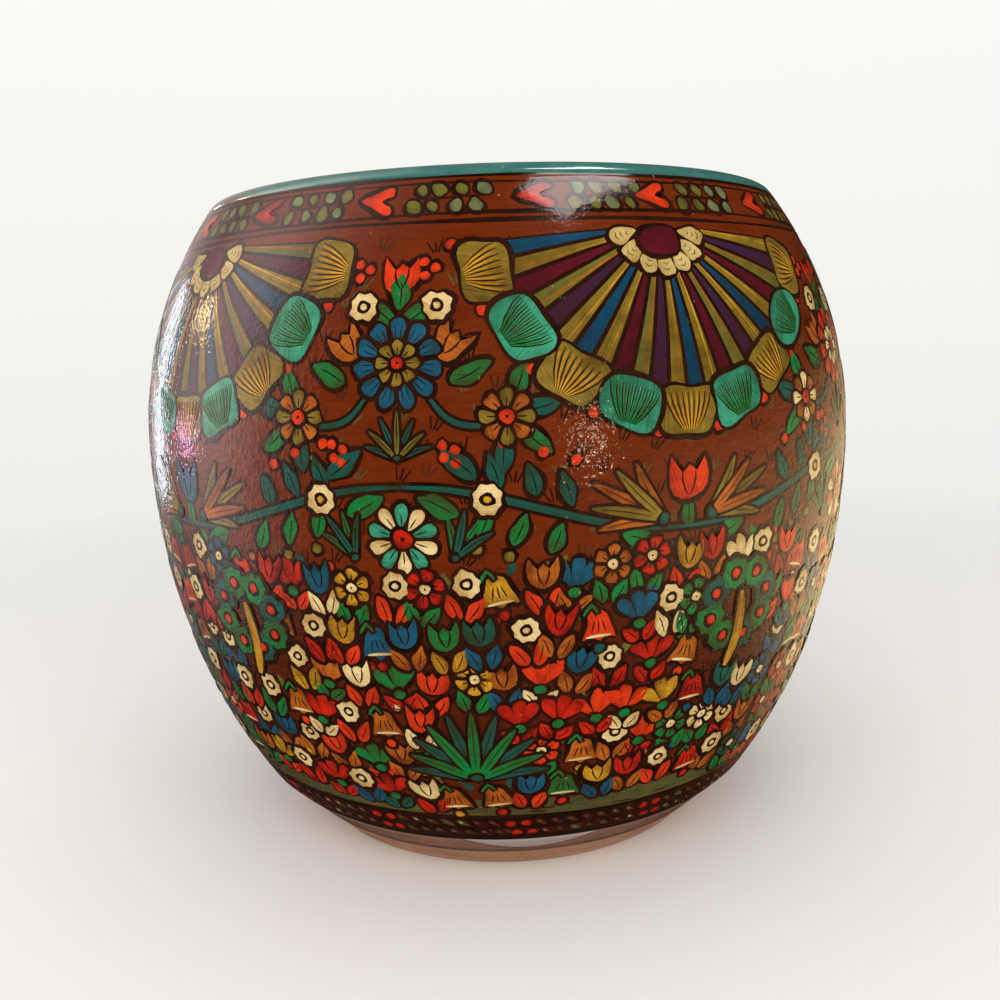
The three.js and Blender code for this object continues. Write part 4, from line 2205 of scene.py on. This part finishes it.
@dataclass
class Studio:
    """Pale floor, soft lamps, surroundings and the camera."""

    floor_radius: float = 3.0
    floor_under_painted_light: Colour = (0.96, 0.955, 0.94, 1)
    floor_away: Colour = (0.90, 0.895, 0.88, 1)
    floor_front_painted_shade: Colour = (0.7, 0.7, 0.7, 1)
    pale_low: Colour = (0.865, 0.86, 0.835, 1)
    pale_high: Colour = (0.965, 0.955, 0.925, 1)
    room_left: Colour = (1.0, 0.87, 0.83, 1)
    room_right: Colour = (1.0, 0.75, 0.4, 1)
    room_dim: float = 0.03
    soft_tint: Colour = (1.0, 0.985, 0.96, 1)
    soft_strength: float = 0.6
    lamp_aim: Triple = (0.0, 0.0, 0.11)
    camera_place: Triple = (0.0, -0.365, 0.166)
    camera_down: float = 9.33
    camera_roll: float = -1.9
    lens: float = 36.0
    sensor: float = 36.0

    def floor(self) -> None:
        """Lays a round white floor that fades into the pale surroundings. Painted light makes it lighter
        under the pot, softening the pot's shadow, and painted shade makes it darker towards the camera.
        """
        mesh = bmesh.new()
        bmesh.ops.create_circle(mesh, cap_ends=True, segments=96, radius=self.floor_radius)
        data = bpy.data.meshes.new("floor")
        mesh.to_mesh(data)
        mesh.free()
        floor = bpy.data.objects.new("floor", data)
        bpy.context.scene.collection.objects.link(floor)
        finish = bpy.data.materials.new("pale_floor")
        finish.use_nodes = True
        graph = Graph(finish.node_tree)
        away = graph.value("ShaderNodeVectorMath", {0: graph.place()}, "Value", operation="LENGTH")
        # Painted light: the floor is lighter near the pot, which softens the pot's shadow
        tone = graph.mix(away.ramp(0.1, 0.5), self.floor_under_painted_light, self.floor_away)
        # Painted shade: the floor darkens towards the camera
        front = graph.axes(graph.place())[1].ramp(-0.16, -0.4)
        tone = graph.mix(front, tone, self.floor_front_painted_shade)
        inputs = {"Base Color": tone, "Roughness": 0.8, "Alpha": 1 - away.ramp(0.2, 0.8)}
        shader = graph.node("ShaderNodeBsdfPrincipled", inputs)
        graph.node("ShaderNodeOutputMaterial", {"Surface": shader.outputs[0]})
        data.materials.append(finish)
        floor.visible_glossy = False

    def surroundings(self) -> None:
        """Makes the world: pale behind the pot, dim on the camera's side, soft light everywhere."""
        world = bpy.data.worlds.new("studio")
        bpy.context.scene.world = world
        world.use_nodes = True
        graph = Graph(world.node_tree)
        way = graph.node("ShaderNodeTexCoord").outputs["Generated"]
        across, along, up = graph.axes(way)
        rays = graph.node("ShaderNodeLightPath").outputs
        seen = Value(graph, rays["Is Camera Ray"]).most(Value(graph, rays["Is Transmission Ray"]))
        glossy = Value(graph, rays["Is Glossy Ray"])
        pale_tone = graph.mix(up.ramp(-0.12, 0.28), self.pale_low, self.pale_high)
        pale = graph.node("ShaderNodeBackground", {"Color": pale_tone, "Strength": 1.0})
        beside = along.ramp(-0.55, 0.0) * ((1 - along.ramp(0.05, 0.55)) * 5.8 + 1.0)
        left = across.ramp(-0.15, -0.9) * beside * up.ramp(-0.55, 0.0)
        low = (1 - up.ramp(-0.3, 0.12)) * up.ramp(-0.65, -0.35)
        limb = along.ramp(0.4, 0.95) * across.ramp(0.0, 0.3)
        limb = limb * (1 - up.ramp(-0.18, 0.12)) * up.ramp(-0.44, -0.36)
        right = across.ramp(0.35, 0.9) * low * 3.2 + limb * 0.85
        back = along.ramp(0.0, 0.9) * up.ramp(-0.4, 0.1) * across.ramp(0.3, -0.1) * 0.35
        room_tone = graph.mix(across.ramp(-0.3, 0.3), self.room_left, self.room_right)
        strength = left + right + back + self.room_dim
        room = graph.node("ShaderNodeBackground", {"Color": room_tone, "Strength": strength})
        soft = graph.node("ShaderNodeBackground", {"Color": self.soft_tint, "Strength": self.soft_strength})
        lit = graph.node("ShaderNodeMixShader", {0: glossy, 1: soft.outputs[0], 2: room.outputs[0]})
        whole = graph.node("ShaderNodeMixShader", {0: seen, 1: lit.outputs[0], 2: pale.outputs[0]})
        graph.node("ShaderNodeOutputWorld", {"Surface": whole.outputs[0]})

    def camera(self) -> None:
        """Sets the camera where the photograph was taken from."""
        data = bpy.data.cameras.new("camera")
        data.lens = self.lens
        data.sensor_width = self.sensor
        data.clip_start = 0.01
        camera = bpy.data.objects.new("camera", data)
        camera.location = self.camera_place
        down = math.radians(self.camera_down)
        level = Vector((0, math.cos(down), -math.sin(down)))
        camera.rotation_euler = level.to_track_quat("-Z", "Y").to_euler()
        camera.rotation_euler.rotate_axis("Z", math.radians(self.camera_roll))
        bpy.context.scene.collection.objects.link(camera)
        bpy.context.scene.camera = camera

    def build(self) -> None:
        """Sets up the whole studio."""
        self.floor()
        self.surroundings()
        for lamp in LAMPS:
            lamp.hang(Vector(self.lamp_aim))
        self.camera()
        bpy.context.scene.view_settings.view_transform = "Standard"


def clay_rings() -> list[ClayRing]:
    """The six rings of clay, from the foot up.

    Returns:
        The rings.
    """
    return [
        FootRing("foot_ring", "raw_clay", FOOT_CLAY),
        FloorSlab("floor_slab", "raw_clay"),
        LowerBowl("lower_bowl", "painted_clay"),
        WallCourse("belly_course", "painted_clay", seam_under=POT.seams[0], seam_over=POT.seams[1]),
        WallCourse("shoulder_course", "painted_clay", seam_under=POT.seams[1], seam_over=POT.seams[2]),
        RimCoil("rim_coil", "rim_paint"),
    ]


def films() -> list[Film]:
    """The coats that go all the way round.

    Returns:
        The coats.
    """
    return [
        SkinFilm("ground_coat", GROUND, "painted_clay"),
        SkinFilm("heel_coat", HEEL_VARNISH, "painted_clay", low=8.1 * MM, high=17.2 * MM, thick=0.15 * MM),
        LipFilm("lip_coat", LIP_TEAL, "rim_paint", thick=0.32 * MM),
    ]


def brushwork() -> list[PaintBox]:
    """Paints every zone of the ornament, with a box of its own for each field of the wall.

    Returns:
        The boxes, each with the brushwork of its field.
    """
    dice, hand, batches = random.Random(20), random.Random(7), random.Random(3)
    fields = {
        "upper": (HeartBorder, Undergrowth, ShellFrieze, Vine),
        "middle": (FlowerRows,),
        "lower": (GrassStrip, BeadBorder),
    }
    boxes = [PaintBox(name, hand, batches) for name in fields]
    for box in boxes:
        blooms = Blooms(box, dice)
        for zone in fields[box.field_name]:
            zone(box, blooms, dice).paint()
    return boxes


def main() -> None:
    """Builds the pot, paints it and sets up the studio."""
    logging.basicConfig(level=logging.INFO, format="%(name)s: %(message)s")
    for ring in clay_rings():
        ring.dress()
    for film in films():
        film.dress()
    for box in brushwork():
        box.dress()
    Studio().build()


if __name__ == "__main__":
    main()
